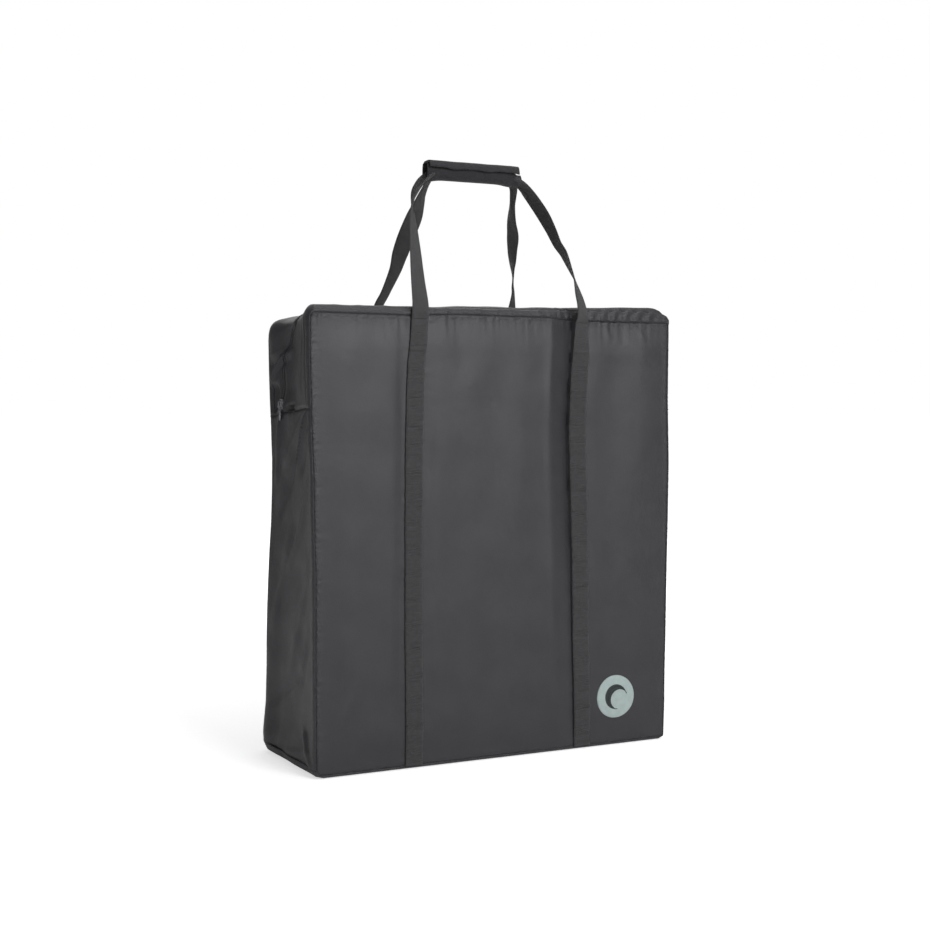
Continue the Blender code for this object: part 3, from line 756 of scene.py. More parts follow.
def row_group():
    """Copies of a shape along a line, turned with the line and facing along its 'facing' attribute."""
    tree, given, output = group_with("row_along_line", [
        ("Pitch", "NodeSocketFloat"), ("Shape", "NodeSocketObject"), ("Material", "NodeSocketMaterial"),
        ("Wobble", "NodeSocketFloat"), ("Seed", "NodeSocketInt"),
    ])
    curve = node(tree, "GeometryNodeMeshToCurve", {"Mesh": given.outputs["Geometry"]})
    spaced = node(tree, "GeometryNodeResampleCurve", {"Curve": curve.outputs[0]})
    spaced.mode = "LENGTH"
    tree.links.new(given.outputs["Pitch"], spaced.inputs["Length"])
    shape = node(tree, "GeometryNodeObjectInfo", {"Object": given.outputs["Shape"]})
    tangent = node(tree, "GeometryNodeInputTangent")
    facing = node(tree, "GeometryNodeInputNamedAttribute", {"Name": "facing"}, data_type="FLOAT_VECTOR")
    along = node(tree, "FunctionNodeAlignRotationToVector", {"Vector": tangent.outputs[0]}, axis="X")
    turned = node(
        tree, "FunctionNodeAlignRotationToVector",
        {"Rotation": along.outputs[0], "Vector": facing.outputs["Attribute"]}, axis="Z", pivot_axis="X",
    )
    low = node(tree, "ShaderNodeMath", {0: 1.0, 1: given.outputs["Wobble"]}, operation="SUBTRACT")
    high = node(tree, "ShaderNodeMath", {0: 1.0, 1: given.outputs["Wobble"]}, operation="ADD")
    size = node(tree, "FunctionNodeRandomValue", {
        "Min": low.outputs[0], "Max": high.outputs[0], "Seed": given.outputs["Seed"],
    }, data_type="FLOAT")
    copies = node(tree, "GeometryNodeInstanceOnPoints", {
        "Points": spaced.outputs[0], "Instance": shape.outputs["Geometry"],
        "Rotation": turned.outputs[0], "Scale": size.outputs["Value"],
    })
    finish_group(tree, copies.outputs[0], given.outputs["Material"], output)
    return tree


def bead_group():
    """A round bead along a line."""
    tree, given, output = group_with("bead_along_line", [
        ("Radius", "NodeSocketFloat"), ("Material", "NodeSocketMaterial"),
    ])
    curve = node(tree, "GeometryNodeMeshToCurve", {"Mesh": given.outputs["Geometry"]})
    ring = node(tree, "GeometryNodeCurvePrimitiveCircle", {"Resolution": 8})
    tree.links.new(given.outputs["Radius"], ring.inputs["Radius"])
    tube = node(tree, "GeometryNodeCurveToMesh", {
        "Curve": curve.outputs[0], "Profile Curve": ring.outputs[0], "Fill Caps": True,
    })
    shaded = node(tree, "GeometryNodeSetShadeSmooth", {"Geometry": tube.outputs[0]})
    finish_group(tree, shaded.outputs[0], given.outputs["Material"], output)
    return tree


_made_groups = {}


def run_group(item, maker, values):
    """Put a tree on an object, set its inputs by their identifiers, and keep the result as a plain mesh."""
    if maker not in _made_groups:
        _made_groups[maker] = maker()
    tree = _made_groups[maker]
    modifier = item.modifiers.new(tree.name, "NODES")
    modifier.node_group = tree
    named = {item.name: item.identifier for item in tree.interface.items_tree if item.in_out == "INPUT"}
    for label, value in values.items():
        modifier[named[label]] = value
    return settle(item)


def line_object(name, points, facing=None, closed=False):
    """A line of edges, with a facing vector at each point."""
    count = len(points)
    edges = [(step, step + 1) for step in range(count - 1)]
    if closed:
        edges.append((count - 1, 0))
    mesh = bpy.data.meshes.new(name)
    mesh.from_pydata(np.asarray(points).tolist(), edges, [])
    if facing is not None:
        layer = mesh.attributes.new("facing", "FLOAT_VECTOR", "POINT")
        layer.data.foreach_set("vector", np.asarray(facing, dtype=np.float32).ravel())
    return link(name, mesh)


def stitch_shape(sizes):
    """One stitch: a short thread that dips into the cloth at both ends."""
    length = sizes.stitch_pitch * 0.68
    rings = []
    for step in range(5):
        part = step / 4 * 2 - 1
        radius = sizes.stitch_radius * (1.0 - 0.45 * part * part)
        lift = sizes.stitch_radius * (0.6 - 1.3 * part * part)
        angles = np.linspace(0, 2 * np.pi, 6, endpoint=False)
        rings.append([(part * length / 2, radius * math.cos(a), lift + radius * math.sin(a)) for a in angles])
    item = loft_object("stitch_shape", np.array(rings), "thread")
    item.hide_render = True
    return item


def tooth_shape(sizes):
    """One turn of the zip coil: a rounded bar across the zip, humped at the middle."""
    half = 0.0026
    thick = sizes.tooth_pitch * 0.30
    rings = []
    for step in range(7):
        part = step / 6 * 2 - 1
        lift = 0.0011 * (1.0 - part ** 4) - 0.0003
        swell = 1.0 + 0.35 * (1.0 - abs(part))
        angles = np.linspace(0, 2 * np.pi, 6, endpoint=False)
        rings.append([
            (thick * swell * math.cos(a), part * half, lift + thick * 0.8 * math.sin(a)) for a in angles])
    item = loft_object("tooth_shape", np.array(rings), "coil")
    item.hide_render = True
    return item


def discard(item):
    """Remove a helper object."""
    bpy.data.objects.remove(item)


def stitch_row(name, points, facing, seed):
    """A row of stitches along a line."""
    sizes = bpy.context.scene.playpen_sizes
    shape = stitch_shape(sizes)
    item = run_group(line_object(name, points, facing), row_group, {
        "Pitch": sizes.stitch_pitch, "Shape": shape, "Material": material("thread"),
        "Wobble": 0.08, "Seed": seed,
    })
    discard(shape)
    return item


# ---------------------------------------------------------------------------
# The bag's shape
# ---------------------------------------------------------------------------

def half_edge(side, face, height):
    """Distance of a panel's side seam from the middle."""
    return np.interp(height, *SIDE_EDGES[side, face])


def top_edge(face, x):
    """Height of a panel's top seam."""
    return np.interp(x, *TOP_EDGES[face])


def ramp(values, low, high):
    """Smooth step from 0 at low to 1 at high."""
    part = np.clip((np.asarray(values, float) - low) / (high - low), 0, 1)
    return part * part * (3 - 2 * part)


def softened(values, size):
    """Running mean that keeps the ends."""
    padded = np.concatenate([np.full(size, values[0]), values, np.full(size, values[-1])])
    kernel = np.ones(2 * size + 1) / (2 * size + 1)
    return np.convolve(padded, kernel, mode="same")[size:-size]


def arc(centre, radius, first, last):
    """Points of a quarter circle, its ends left out."""
    angles = np.radians(np.linspace(first, last, 11))[1:-1]
    return [(centre[0] + radius * math.cos(a), centre[1] + radius * math.sin(a)) for a in angles]


def rim_of(face):
    """The seam line round a panel, clockwise from the bottom of the left side: x, z."""
    top_left, top_right, low_right, low_left = CORNERS[face]
    left_top, right_top = top_edge(face, -0.27), top_edge(face, 0.27)
    left_x, right_x = half_edge(-1, face, left_top), half_edge(1, face, right_top)
    low_x, far_x = half_edge(-1, face, RIM_FLOOR), half_edge(1, face, RIM_FLOOR)
    rows = [(-half_edge(-1, face, z), z) for z in np.linspace(RIM_FLOOR + low_left, left_top - top_left, 240)]
    rows += arc((-left_x + top_left, left_top - top_left), top_left, 180, 90)
    rows += [(x, top_edge(face, x)) for x in np.linspace(-left_x + top_left, right_x - top_right, 240)]
    rows += arc((right_x - top_right, right_top - top_right), top_right, 90, 0)
    right_rows = np.linspace(right_top - top_right, RIM_FLOOR + low_right, 240)
    rows += [(half_edge(1, face, z), z) for z in right_rows]
    rows += arc((far_x - low_right, RIM_FLOOR + low_right), low_right, 0, -90)
    rows += [(x, RIM_FLOOR) for x in np.linspace(far_x - low_right, -low_x + low_left, 240)]
    rows += arc((-low_x + low_left, RIM_FLOOR + low_left), low_left, -90, -180)
    return np.array(rows + rows[:1])


RIMS = {-1: rim_of(-1), 1: rim_of(1)}
RIMS[0] = (RIMS[-1] + RIMS[1]) / 2
RIM_LENGTHS = np.concatenate([[0], np.cumsum(np.linalg.norm(np.diff(RIMS[0], axis=0), axis=1))])
RIM_LENGTH = RIM_LENGTHS[-1]


def rim_at(distance, face=0):
    """x and z of a rim at a distance along it; face 0 is the line midway between the two seams."""
    distance = np.asarray(distance, float) % RIM_LENGTH
    x, z = RIMS[face].T
    return np.interp(distance, RIM_LENGTHS, x), np.interp(distance, RIM_LENGTHS, z)


def rim_normal(distance):
    """Outward direction of the rim in the XZ plane."""
    ahead, behind = rim_at(distance + 0.0018), rim_at(distance - 0.0018)
    run, rise = ahead[0] - behind[0], ahead[1] - behind[1]
    size = np.hypot(run, rise)
    return -rise / size, run / size


def side_distance(side, height):
    """Distance along the rim of a height on one side."""
    rows = np.flatnonzero((RIMS[0][:, 0] * side > 0.25) & (np.abs(RIMS[0][:, 1] - height) < 0.004))
    return float(RIM_LENGTHS[rows[np.argmin(np.abs(RIMS[0][rows, 1] - height))]])


def top_distance(x):
    """Distance along the rim of an x on the top."""
    rows = np.flatnonzero((RIMS[0][:, 1] > 0.58) & (np.abs(RIMS[0][:, 0]) < 0.262))
    return float(np.interp(x, RIMS[0][rows, 0], RIM_LENGTHS[rows]))


LID_END = 0.2480
LID_FLAT = 0.1500
LEFT_CROSS, RIGHT_CROSS = side_distance(-1, CROSS_SEAM), side_distance(1, CROSS_SEAM)
LEFT_END, LEFT_FLAT = top_distance(-LID_END), top_distance(-LID_FLAT)
RIGHT_END, RIGHT_FLAT = top_distance(LID_END), top_distance(LID_FLAT)
TOP_MIDDLE = top_distance(0.0)


def ripples(where, pitch, seed):
    """Uneven waves of about that pitch along a line, between -1 and 1."""
    where = np.asarray(where, float)
    shifted = where + 0.35 * pitch * np.sin(where * 2 * np.pi / (pitch * 3.7) + seed * 1.3)
    first = np.sin(2 * np.pi * shifted / pitch + seed)
    second = np.sin(2 * np.pi * shifted / (pitch * 0.61) + 2.1 * seed)
    swell = 0.6 + 0.4 * np.sin(where * 2 * np.pi / (pitch * 7.3) + 0.7 * seed)
    return (0.65 * first + 0.35 * second) * swell


def undulation(first, second, seed, pitch=0.13):
    """Slow, uneven waves over a surface, between about -1 and 1."""
    total = 0.0
    for step in range(5):
        angle = 0.9 + 1.7 * step + seed
        size = 2 * np.pi / (pitch * (1.0 - 0.13 * step))
        total = total + np.sin(
            size * (first * math.cos(angle) + second * math.sin(angle)) + 2.3 * step * seed
            + 0.8 * np.sin(size * 0.45 * (second * math.cos(angle) - first * math.sin(angle)) + seed))
    return total / 4.0


def folds(first, second, creases):
    """Sum of soft ridges and troughs, each along a short line."""
    total = np.zeros(np.broadcast(first, second).shape)
    for a0, b0, a1, b1, half, height in creases:
        run, rise = a1 - a0, b1 - b0
        length = math.hypot(run, rise)
        part = ((first - a0) * run + (second - b0) * rise) / length ** 2
        away = ((first - a0) * rise - (second - b0) * run) / length
        bend = 0.25 * half * np.sin(part * 3.0 + a0 * 40)
        inside = ramp(part, -0.12, 0.16) * (1.0 - ramp(part, 0.80, 1.12))
        total = total + height * inside * np.exp(-((away + bend) / half) ** 2)
    return total


def seam_shape(away, along, sizes, seed, reach=0.008):
    """Depth of the groove at a seam and of the puckers beside it, by distance from the seam."""
    groove = -0.0016 * np.exp(-(away / 0.0014) ** 2)
    height = sizes.pucker * np.exp(-away / reach) * ramp(away, 0.0, 0.002)
    return groove + height * ripples(along, sizes.pucker_pitch, seed)


def webbing_middle(name, z):
    """x of a sewn webbing's middle line at a height."""
    route = SEWN_ROUTES[name][::-1]
    return np.interp(z, [row[1] for row in route], [row[0] for row in route])


def sunken_side(x, z):
    """The front cloth right of the ridge falls back to the right webbing, and again behind it."""
    across = x - webbing_middle("webbing_front_right", z)
    strength = 0.30 + 0.70 * ramp(z, 0.10, 0.46)
    depth = (
        np.interp(across, [-0.0475, -0.0450, -0.0130, -0.0110], [0.0, 0.0005, 0.0095, 0.0098])
        - 0.0094 * ramp(across, -0.0120, -0.0070) + 0.0050 * ramp(across, -0.0100, 0.0160)
        - 0.0048 * ramp(across, 0.0350, 0.1350))
    return -strength * depth * ramp(z, RIM_FLOOR, RIM_FLOOR + 0.045)


def webbing_pull(x, z, face):
    """The sewn webbing draws the cloth in and gathers it a little on both sides."""
    total = 0.0
    for name in SEWN_ROUTES:
        if ("front" in name) != (face < 0):
            continue
        middle = webbing_middle(name, z)
        away = np.abs(x - middle)
        beside = np.exp(-((away - 0.0135) / 0.007) ** 2) * (away > 0.008)
        total = total - 0.0012 * np.exp(-(away / 0.020) ** 2)
        total = total + 0.00040 * beside * ripples(z, 0.0125, 3.0 + (x > middle))
    return total


def face_depth(z, face):
    """Distance of a panel's seam from the bag's middle plane: the back bulges near the floor."""
    return RIM_Y + (0.0060 * (1.0 - ramp(z, 0.10, 0.38)) if face > 0 else 0.0 * z)


def panel_bulge(x, z, face):
    """How far a panel's cloth stands out from its seam's plane."""
    sizes = bpy.context.scene.playpen_sizes
    seed = 1.7 if face < 0 else 5.1
    left = x + half_edge(-1, face, z)
    right = half_edge(1, face, z) - x
    top = top_edge(face, x) - z
    bottom = z - RIM_FLOOR
    inside = ramp(left, 0, 0.05) * ramp(right, 0, 0.05) * ramp(top, 0, 0.05) * ramp(bottom, 0, 0.05)
    bulge = 0.0030 * inside + 0.0009 * inside * undulation(x, z, seed)
    bulge = bulge + folds(x, z, FRONT_CREASES if face < 0 else BACK_CREASES)
    bulge = bulge + webbing_pull(x, z, face)
    if face < 0:
        bulge = bulge + sunken_side(x, z)
    bulge = bulge + seam_shape(left, z, sizes, seed + 1, 0.006) + seam_shape(right, z, sizes, seed + 2, 0.006)
    bulge = bulge + 1.35 * seam_shape(top, x, sizes, seed + 3, 0.012)
    return bulge + 0.7 * seam_shape(bottom, x, sizes, seed + 4, 0.006)


def panel_point(x, z, face):
    """A point of the front (face -1) or back (face 1) cloth."""
    return np.stack([x, face * (face_depth(z, face) + panel_bulge(x, z, face)), z], axis=-1)


def zip_line(distance):
    """y of the zip's middle line at a distance along the rim, from cross seam to cross seam."""
    left, z = rim_at(distance)
    side = np.interp(z, [0.515, 0.535, 0.560, 0.583, 0.600], [0.0450, 0.0450, 0.0320, 0.0120, -0.0080])
    top = -0.0230 * (1.0 - ramp(left, -0.2560, -0.1560))
    share = ramp(z, 0.590, 0.603)
    return np.where(distance < TOP_MIDDLE, side * (1 - share) + top * share, 0.0)


def top_share(distance, behind):
    """1 on the flat of the top, falling to 0 over its ends, more slowly behind the front shoulder."""
    x, _ = rim_at(distance)
    _, nz = rim_normal(distance)
    left = ramp(x, -0.2720, -0.2590) * (1 - behind) + ramp(x, -0.2745, -0.2380) * behind
    return left * (1.0 - ramp(x, 0.2640, 0.2830)) * ramp(nz, 0.15, 0.95)


def side_relief(distance, y):
    """Sag and creases of the two sides."""
    sizes = bpy.context.scene.playpen_sizes
    x, z = rim_at(distance)
    beam = np.clip(1.0 - (y / RIM_Y) ** 2, 0, 1)
    sag = -sizes.sag * beam * ramp(z, 0.0, 0.06) * (1.0 - 0.75 * ramp(z, 0.56, 0.61))
    left = folds(y, z, LEFT_CREASES) + 0.0010 * undulation(y, z, 2.2, 0.09)
    right = folds(y, z, RIGHT_CREASES) + 0.0010 * undulation(y, z, 4.4, 0.09)
    relief = sag + np.where(x < 0, left, right) * ramp(beam, 0.0, 0.22)
    beside = np.abs(y - zip_line(distance))
    gathered = np.exp(-beside / 0.009) * ramp(beside, 0.0045, 0.007)
    gathered = gathered * ramp(z, CROSS_SEAM + 0.02, CROSS_SEAM + 0.05)
    relief = relief + 0.0012 * gathered * ripples(distance, 0.0085, 6.1) + 0.0014 * gathered
    cross = np.abs(z - CROSS_SEAM)
    relief = relief - 0.0026 * np.exp(-(cross / 0.0022) ** 2)
    return relief + 0.0012 * np.exp(-cross / 0.010) * ripples(y, 0.015, 1.1 + (x > 0)) * beam


def top_relief(distance, y):
    """Stuffed crown and creases of the top; nothing rises at the creases where the lids fold."""
    x, _ = rim_at(distance)
    crown = np.interp(x, CROWN_X, CROWN) * np.clip(1.0 - (np.abs(y) / HINGE_Y) ** 7, 0, 1)
    wrinkles = folds(x, y, TOP_CREASES) + 0.0008 * undulation(x, y, 3.3, 0.11)
    still = np.exp(-((np.abs(y) - HINGE_Y) / 0.0030) ** 2)
    return crown + wrinkles * (1.0 - 0.35 * still)


def strip_point(distance, part, face):
    """A point of the strip round the bag, on the half of one face.

    part runs from 0 at the seam to 1 at the end of the rounded edge, and to 2 at the strip's middle line.
    """
    sizes = bpy.context.scene.playpen_sizes
    outer_x, outer_z = rim_at(distance, face)
    middle_x, middle_z = rim_at(distance)
    nx, nz = rim_normal(distance)
    behind = 1.0 if face > 0 else ramp(part, 1.0, 1.35)
    flat = top_share(distance, behind)
    low = ramp(-nz, 0.1, 0.9)
    turn = np.clip(part, 0, 1) * np.pi / 2
    onward = np.clip(part - 1, 0, 1)
    across = ramp(onward, 0, 1)
    x = outer_x + (middle_x - outer_x) * across
    z = outer_z + (middle_z - outer_z) * across
    seam_y = face_depth(outer_z, face)
    if face < 0:
        seam_y = seam_y + sunken_side(outer_x, outer_z) * ramp(outer_z, 0.585, 0.600)
    roll_depth = 0.0095 - 0.0030 * low + 0.0040 * (middle_x < 0) * ramp(middle_z, 0.43, 0.47) * (1 - flat)
    inner = (RIM_Y - roll_depth) * (1 - flat) + HINGE_Y * flat
    goal = face * zip_line(distance)
    edge_y = seam_y - (seam_y - inner) * (1.0 - np.cos(turn))
    y = np.where(part <= 1, edge_y, inner + (goal - inner) * onward)
    slump = 0.0085 * (1.0 - ramp(x, -0.2500, -0.1560)) * ramp(face * y, -HINGE_Y, HINGE_Y - 0.02)
    rise = (ROLL * (1 - low) + (RIM_FLOOR - 0.0004) * low) * (1 - flat) + (CREASE_Z - slump - z) * flat
    out = rise * np.sin(turn)
    groove = seam_shape(roll_depth * part * 1.2, distance, sizes, 2.0 - face, 0.005) * (part <= 1)
    signed = face * y
    beyond = ramp(part, 0.35, 1.25)
    relief = side_relief(distance, signed) * (1 - flat) * (1 - low) * beyond
    crown = top_relief(distance, signed) * flat
    lean = np.cos(turn) * (part < 1)
    y = y + groove * lean + crown * lean
    out = out + relief + crown * np.where(part < 1, np.sin(turn), 1.0)
    return np.stack([x + nx * out, face * y, z + nz * out], axis=-1)


def spaced(start, end, step):
    """Even steps from start to end, both kept."""
    return np.linspace(start, end, max(int(round(abs(end - start) / step)) + 1, 3))


def lengths_along(points, axis):
    """Running length of a grid of points along one axis."""
    steps = np.linalg.norm(np.diff(points, axis=axis), axis=-1)
    start = np.zeros_like(np.take(steps, [0], axis=axis))
    return np.concatenate([start, np.cumsum(steps, axis=axis)], axis=axis)


def cloth_piece(name, points, near_seam, centre=(0, 0, 0.3)):
    """A sheet of bag cloth with its thickness, facing away from a centre; near_seam is 1 at a seam."""
    sizes = bpy.context.scene.playpen_sizes
    uv = np.stack([lengths_along(points, 1), lengths_along(points, 0)], axis=-1)
    item = grid_object(name, points, uv, "cloth")
    layer = item.data.attributes.new("near_seam", "FLOAT", "POINT")
    layer.data.foreach_set("value", np.broadcast_to(near_seam, points.shape[:2]).astype(np.float32).ravel())
    turn_outward(item, centre)
    return thicken(item, sizes.cloth)


def strip_piece(name, distances, parts, face, hold_back=0.0):
    """A piece of the strip between two distances; hold_back keeps its inner edge off the zip."""
    run, part = np.meshgrid(distances, parts, indexing="ij")
    points = strip_point(run, part, face)
    points[..., 1] += face * hold_back * np.clip(part - 1, 0, 1)
    return cloth_piece(name, points, np.exp(-part / 0.7))


# ---------------------------------------------------------------------------
# Operators: the bag
# ---------------------------------------------------------------------------

class PlaypenPiece:
    """Shared by the operators that make pieces."""

    bl_options = {"REGISTER", "UNDO"}

    def execute(self, context):
        self.make(context.scene.playpen_sizes)
        return {"FINISHED"}


class PLAYPEN_OT_panels(PlaypenPiece, bpy.types.Operator):
    """Front and back panels of the bag"""

    bl_idname = "playpen.panels"
    bl_label = "Panels"

    def make(self, sizes):
        level = 0.604
        rows = np.concatenate([
            np.linspace(RIM_FLOOR, 0.02, 9)[:-1], spaced(0.02, level - 0.045, sizes.grid * 1.2)[:-1],
            spaced(level - 0.045, level - 0.012, sizes.grid * 0.6)[:-1],
            np.linspace(level - 0.012, level, 11),
        ])
        across = np.concatenate([
            np.linspace(0, 0.02, 8)[:-1], spaced(0.02, 0.98, sizes.grid / 0.54)[:-1], np.linspace(0.98, 1, 8),
        ])
        for label, face in (("front", -1), ("back", 1)):
            top_left, top_right, low_right, low_left = CORNERS[face]
            low, high = [], []
            for z in rows:
                cuts = []
                for top_radius, low_radius in ((top_left, low_left), (top_right, low_right)):
                    radius = top_radius if z > 0.3 else low_radius
                    down = max(top_radius - (level - z), low_radius - (z - RIM_FLOOR), 0.0)
                    cuts.append(radius - math.sqrt(max(radius ** 2 - down ** 2, 0.0)))
                low.append(-half_edge(-1, face, z) + cuts[0])
                high.append(half_edge(1, face, z) - cuts[1])
            x = np.array(low)[:, None] * (1 - across) + np.array(high)[:, None] * across
            z = rows[:, None] + (top_edge(face, x) - level) * ramp(rows, 0.52, level)[:, None]
            edge = np.minimum(x + half_edge(-1, face, z), half_edge(1, face, z) - x)
            edge = np.minimum(edge, 0.7 * (top_edge(face, x) - z))
            near = np.exp(-np.abs(edge) / 0.0042)
            item = cloth_piece(f"{label}_panel_cloth", panel_point(x, z, face), near)
            ride(item, "root", "bag_cloth", f"{label}_panel")


class PLAYPEN_OT_sides(PlaypenPiece, bpy.types.Operator):
    """The strip round the bag below the cross seams: both sides and the bottom"""

    bl_idname = "playpen.sides"
    bl_label = "Sides and bottom"

    def make(self, sizes):
        left_low, right_low = 0.0, side_distance(1, RIM_FLOOR + CORNERS[-1][2])
        pieces = (
            ("left_gusset_cloth", "left_gusset", left_low, LEFT_CROSS, (0.18, 0.46)),
            ("right_gusset_cloth", "right_gusset", RIGHT_CROSS, right_low, (0.18, 0.46)),
            ("bottom_cloth", "bottom_panel", right_low, RIM_LENGTH + left_low, (0.18, 0.53)),
        )
        edge = np.linspace(0, 1, 9)[:-1]
        inner = np.linspace(1, 2, 26)
        parts = np.concatenate([edge, inner])
        for name, replaced, start, end, flat in pieces:
            distances = spaced(start, end, sizes.grid * (3.0 if "bottom" in name else 1.0))
            run, part = np.meshgrid(distances, parts, indexing="ij")
            halves = [strip_point(run, part, face) for face in (-1, 1)]
            points = np.concatenate([halves[0], halves[1][:, -2::-1]], axis=1)
            near = np.exp(-np.concatenate([part, part[:, -2::-1]], axis=1) / 0.7)
            item = cloth_piece(name, points, near)
            ride(item, "root", "bag_cloth", replaced)


class PLAYPEN_OT_top(PlaypenPiece, bpy.types.Operator):
    """The zipped cloth: the shoulders, the drops on both sides and the lid halves"""

    bl_idname = "playpen.top"
    bl_label = "Zipped top"

    def make(self, sizes):
        step = sizes.grid * 0.8
        edge = np.linspace(0, 1, 12)
        inner = np.linspace(1, 2, 26)
        for label, face in (("front", -1), ("rear", 1)):
            whole = spaced(LEFT_CROSS, RIGHT_CROSS, step)
            shoulder = strip_piece(f"shoulder_{label}_cloth", whole, edge, face)
            ride(shoulder, "root", "bag_cloth", f"shoulder_{label}")
            for side, start, end in (("left", LEFT_CROSS, LEFT_END), ("right", RIGHT_END, RIGHT_CROSS)):
                drop = strip_piece(
                    f"{side}_drop_{label}_cloth", spaced(start, end, step), inner, face, sizes.zip_gap)
                ride(drop, "root", "bag_cloth", f"{side}_drop_{label}")
            lid = strip_piece(
                f"lid_{label}_cloth", spaced(LEFT_FLAT, RIGHT_FLAT, step), inner, face, sizes.zip_gap)
            ride(lid, f"lid_{label}", "bag_cloth", f"lid_{label}")
            for side, sign, start, end in (
                    ("left", -1, LEFT_END, LEFT_FLAT), ("right", 1, RIGHT_FLAT, RIGHT_END)):
                wing = strip_piece(
                    f"lid_{label}_{side}_wing", spaced(start, end, step), inner, face, sizes.zip_gap)
                stretch(
                    wing, ("root", f"lid_{label}"), (sign * LID_END, 0, CREASE_Z),
                    (sign * LID_FLAT, 0, CREASE_Z), "bag_cloth",
                )


class PLAYPEN_OT_seams(PlaypenPiece, bpy.types.Operator):
    """Binding in the seam round each panel and across each side"""

    bl_idname = "playpen.seams"
    bl_label = "Seam binding"

    def make(self, sizes):
        distances = spaced(0, RIM_LENGTH, 0.004)[:-1]
        for label, face in (("front", -1), ("back", 1)):
            points = strip_point(distances, np.zeros_like(distances), face)
            points[:, 1] -= face * 0.0004
            item = run_group(
                line_object(f"{label}_seam_binding", points, closed=True), bead_group,
                {"Radius": 0.0007, "Material": material("tape")},
            )
            ride(item, "root", "bag_cloth")
        for label, distance in (("left", LEFT_CROSS), ("right", RIGHT_CROSS)):
            parts = np.linspace(0.25, 2, 40)
            halves = [strip_point(np.full(40, distance), parts, face) for face in (-1, 1)]
            points = np.concatenate([halves[0], halves[1][-2::-1]])
            item = run_group(
                line_object(f"{label}_cross_seam", points), bead_group,
                {"Radius": 0.0007, "Material": material("tape")},
            )
            ride(item, "root", "bag_cloth")


# ---------------------------------------------------------------------------
# Operators: the zip
# ---------------------------------------------------------------------------

def zip_points(distances, offset):
    """Points beside the zip's middle line, pushed across it, with the cloth's outward direction."""
    middle = strip_point(distances, np.full(len(distances), 2.0), -1)
    nx, nz = rim_normal(distances)
    outward = np.stack([nx, np.zeros_like(nx), nz], axis=-1)
    points = middle + outward * -0.0010
    points[:, 1] += offset
    return points, outward


class PLAYPEN_OT_zip(PlaypenPiece, bpy.types.Operator):
    """Tapes and coil of the zip"""

    bl_idname = "playpen.zip"
    bl_label = "Zip"

    def make(self, sizes):
        shape = tooth_shape(sizes)
        stretches = (
            ("left", LEFT_CROSS + 0.001, LEFT_END), ("top_left", LEFT_END, LEFT_FLAT),
            ("top", LEFT_FLAT, RIGHT_FLAT), ("top_right", RIGHT_FLAT, RIGHT_END),
            ("right", RIGHT_END, RIGHT_CROSS - 0.001),
        )
        for label, face in (("front", -1), ("rear", 1)):
            for place, start, end in stretches:
                tape = self.tape(f"zip_tape_{place}_{label}", start, end, face, sizes)
                teeth = self.teeth(f"zip_coil_{place}_{label}", start, end, face, sizes, shape)
                self.put(tape, teeth, place, label)
        discard(shape)

    def tape(self, name, start, end, face, sizes):
        """Tape from the middle line to under the cloth's edge."""
        distances = spaced(start, end, 0.004)
        rows = []
        for offset in np.linspace(0.0004, sizes.zip_gap + 0.003, 6):
            points, outward = zip_points(distances, face * offset)
            rows.append(points - outward * 0.0012 * ramp(offset, 0.003, sizes.zip_gap))
        grid = np.stack(rows, axis=1)
        uv = np.stack([lengths_along(grid, 1), lengths_along(grid, 0)], axis=-1)
        item = grid_object(name, grid, uv, "tape")
        turn_outward(item, (0, 0, 0.3))
        return thicken(item, 0.0007)

    def teeth(self, name, start, end, face, sizes, shape):
        """Half of the coil, its turns set between those of the other half."""
        shift = 0.0 if face < 0 else sizes.tooth_pitch / 2
        distances = spaced(start + shift, end, 0.003)
        points, outward = zip_points(distances, face * 0.0011)
        points = points + outward * 0.0006
        return run_group(line_object(name, points, outward), row_group, {
            "Pitch": sizes.tooth_pitch, "Shape": shape, "Material": material("coil"),
            "Wobble": 0.04, "Seed": 3,
        })

    def put(self, tape, teeth, place, label):
        """Let the middle go with the lid, and leave what lies towards the sides where it is."""
        if place in ("left", "right"):
            ride(tape, "root", "zip_chain", f"zip_{place}_{label}")
            ride(teeth, "root", "zip_chain")
        elif place == "top":
            ride(tape, f"lid_{label}", "zip_chain", f"zip_top_{label}")
            ride(teeth, f"lid_{label}", "zip_chain")
        else:
            sign = -1 if place == "top_left" else 1
            ends = ((sign * LID_END, 0, CREASE_Z), (sign * LID_FLAT, 0, CREASE_Z))
            stretch(tape, ("root", f"lid_{label}"), *ends, "zip_chain")
            stretch(teeth, ("root", f"lid_{label}"), *ends, "zip_chain")


# ---------------------------------------------------------------------------
# Operators: webbing
# ---------------------------------------------------------------------------

def smooth_route(points, steps):
    """Catmull-Rom points through the rows of a route."""
    rows = np.array(points, float)
    made = []
    for index in range(len(rows) - 1):
        before, start = rows[max(index - 1, 0)], rows[index]
        end, after = rows[index + 1], rows[min(index + 2, len(rows) - 1)]
        for t in np.linspace(0, 1, steps, endpoint=False):
            made.append(0.5 * (
                2 * start + (end - before) * t + (2 * before - 5 * start + 4 * end - after) * t ** 2
                + (3 * start - before - 3 * end + after) * t ** 3))
    made.append(rows[-1])
    return np.array(made)


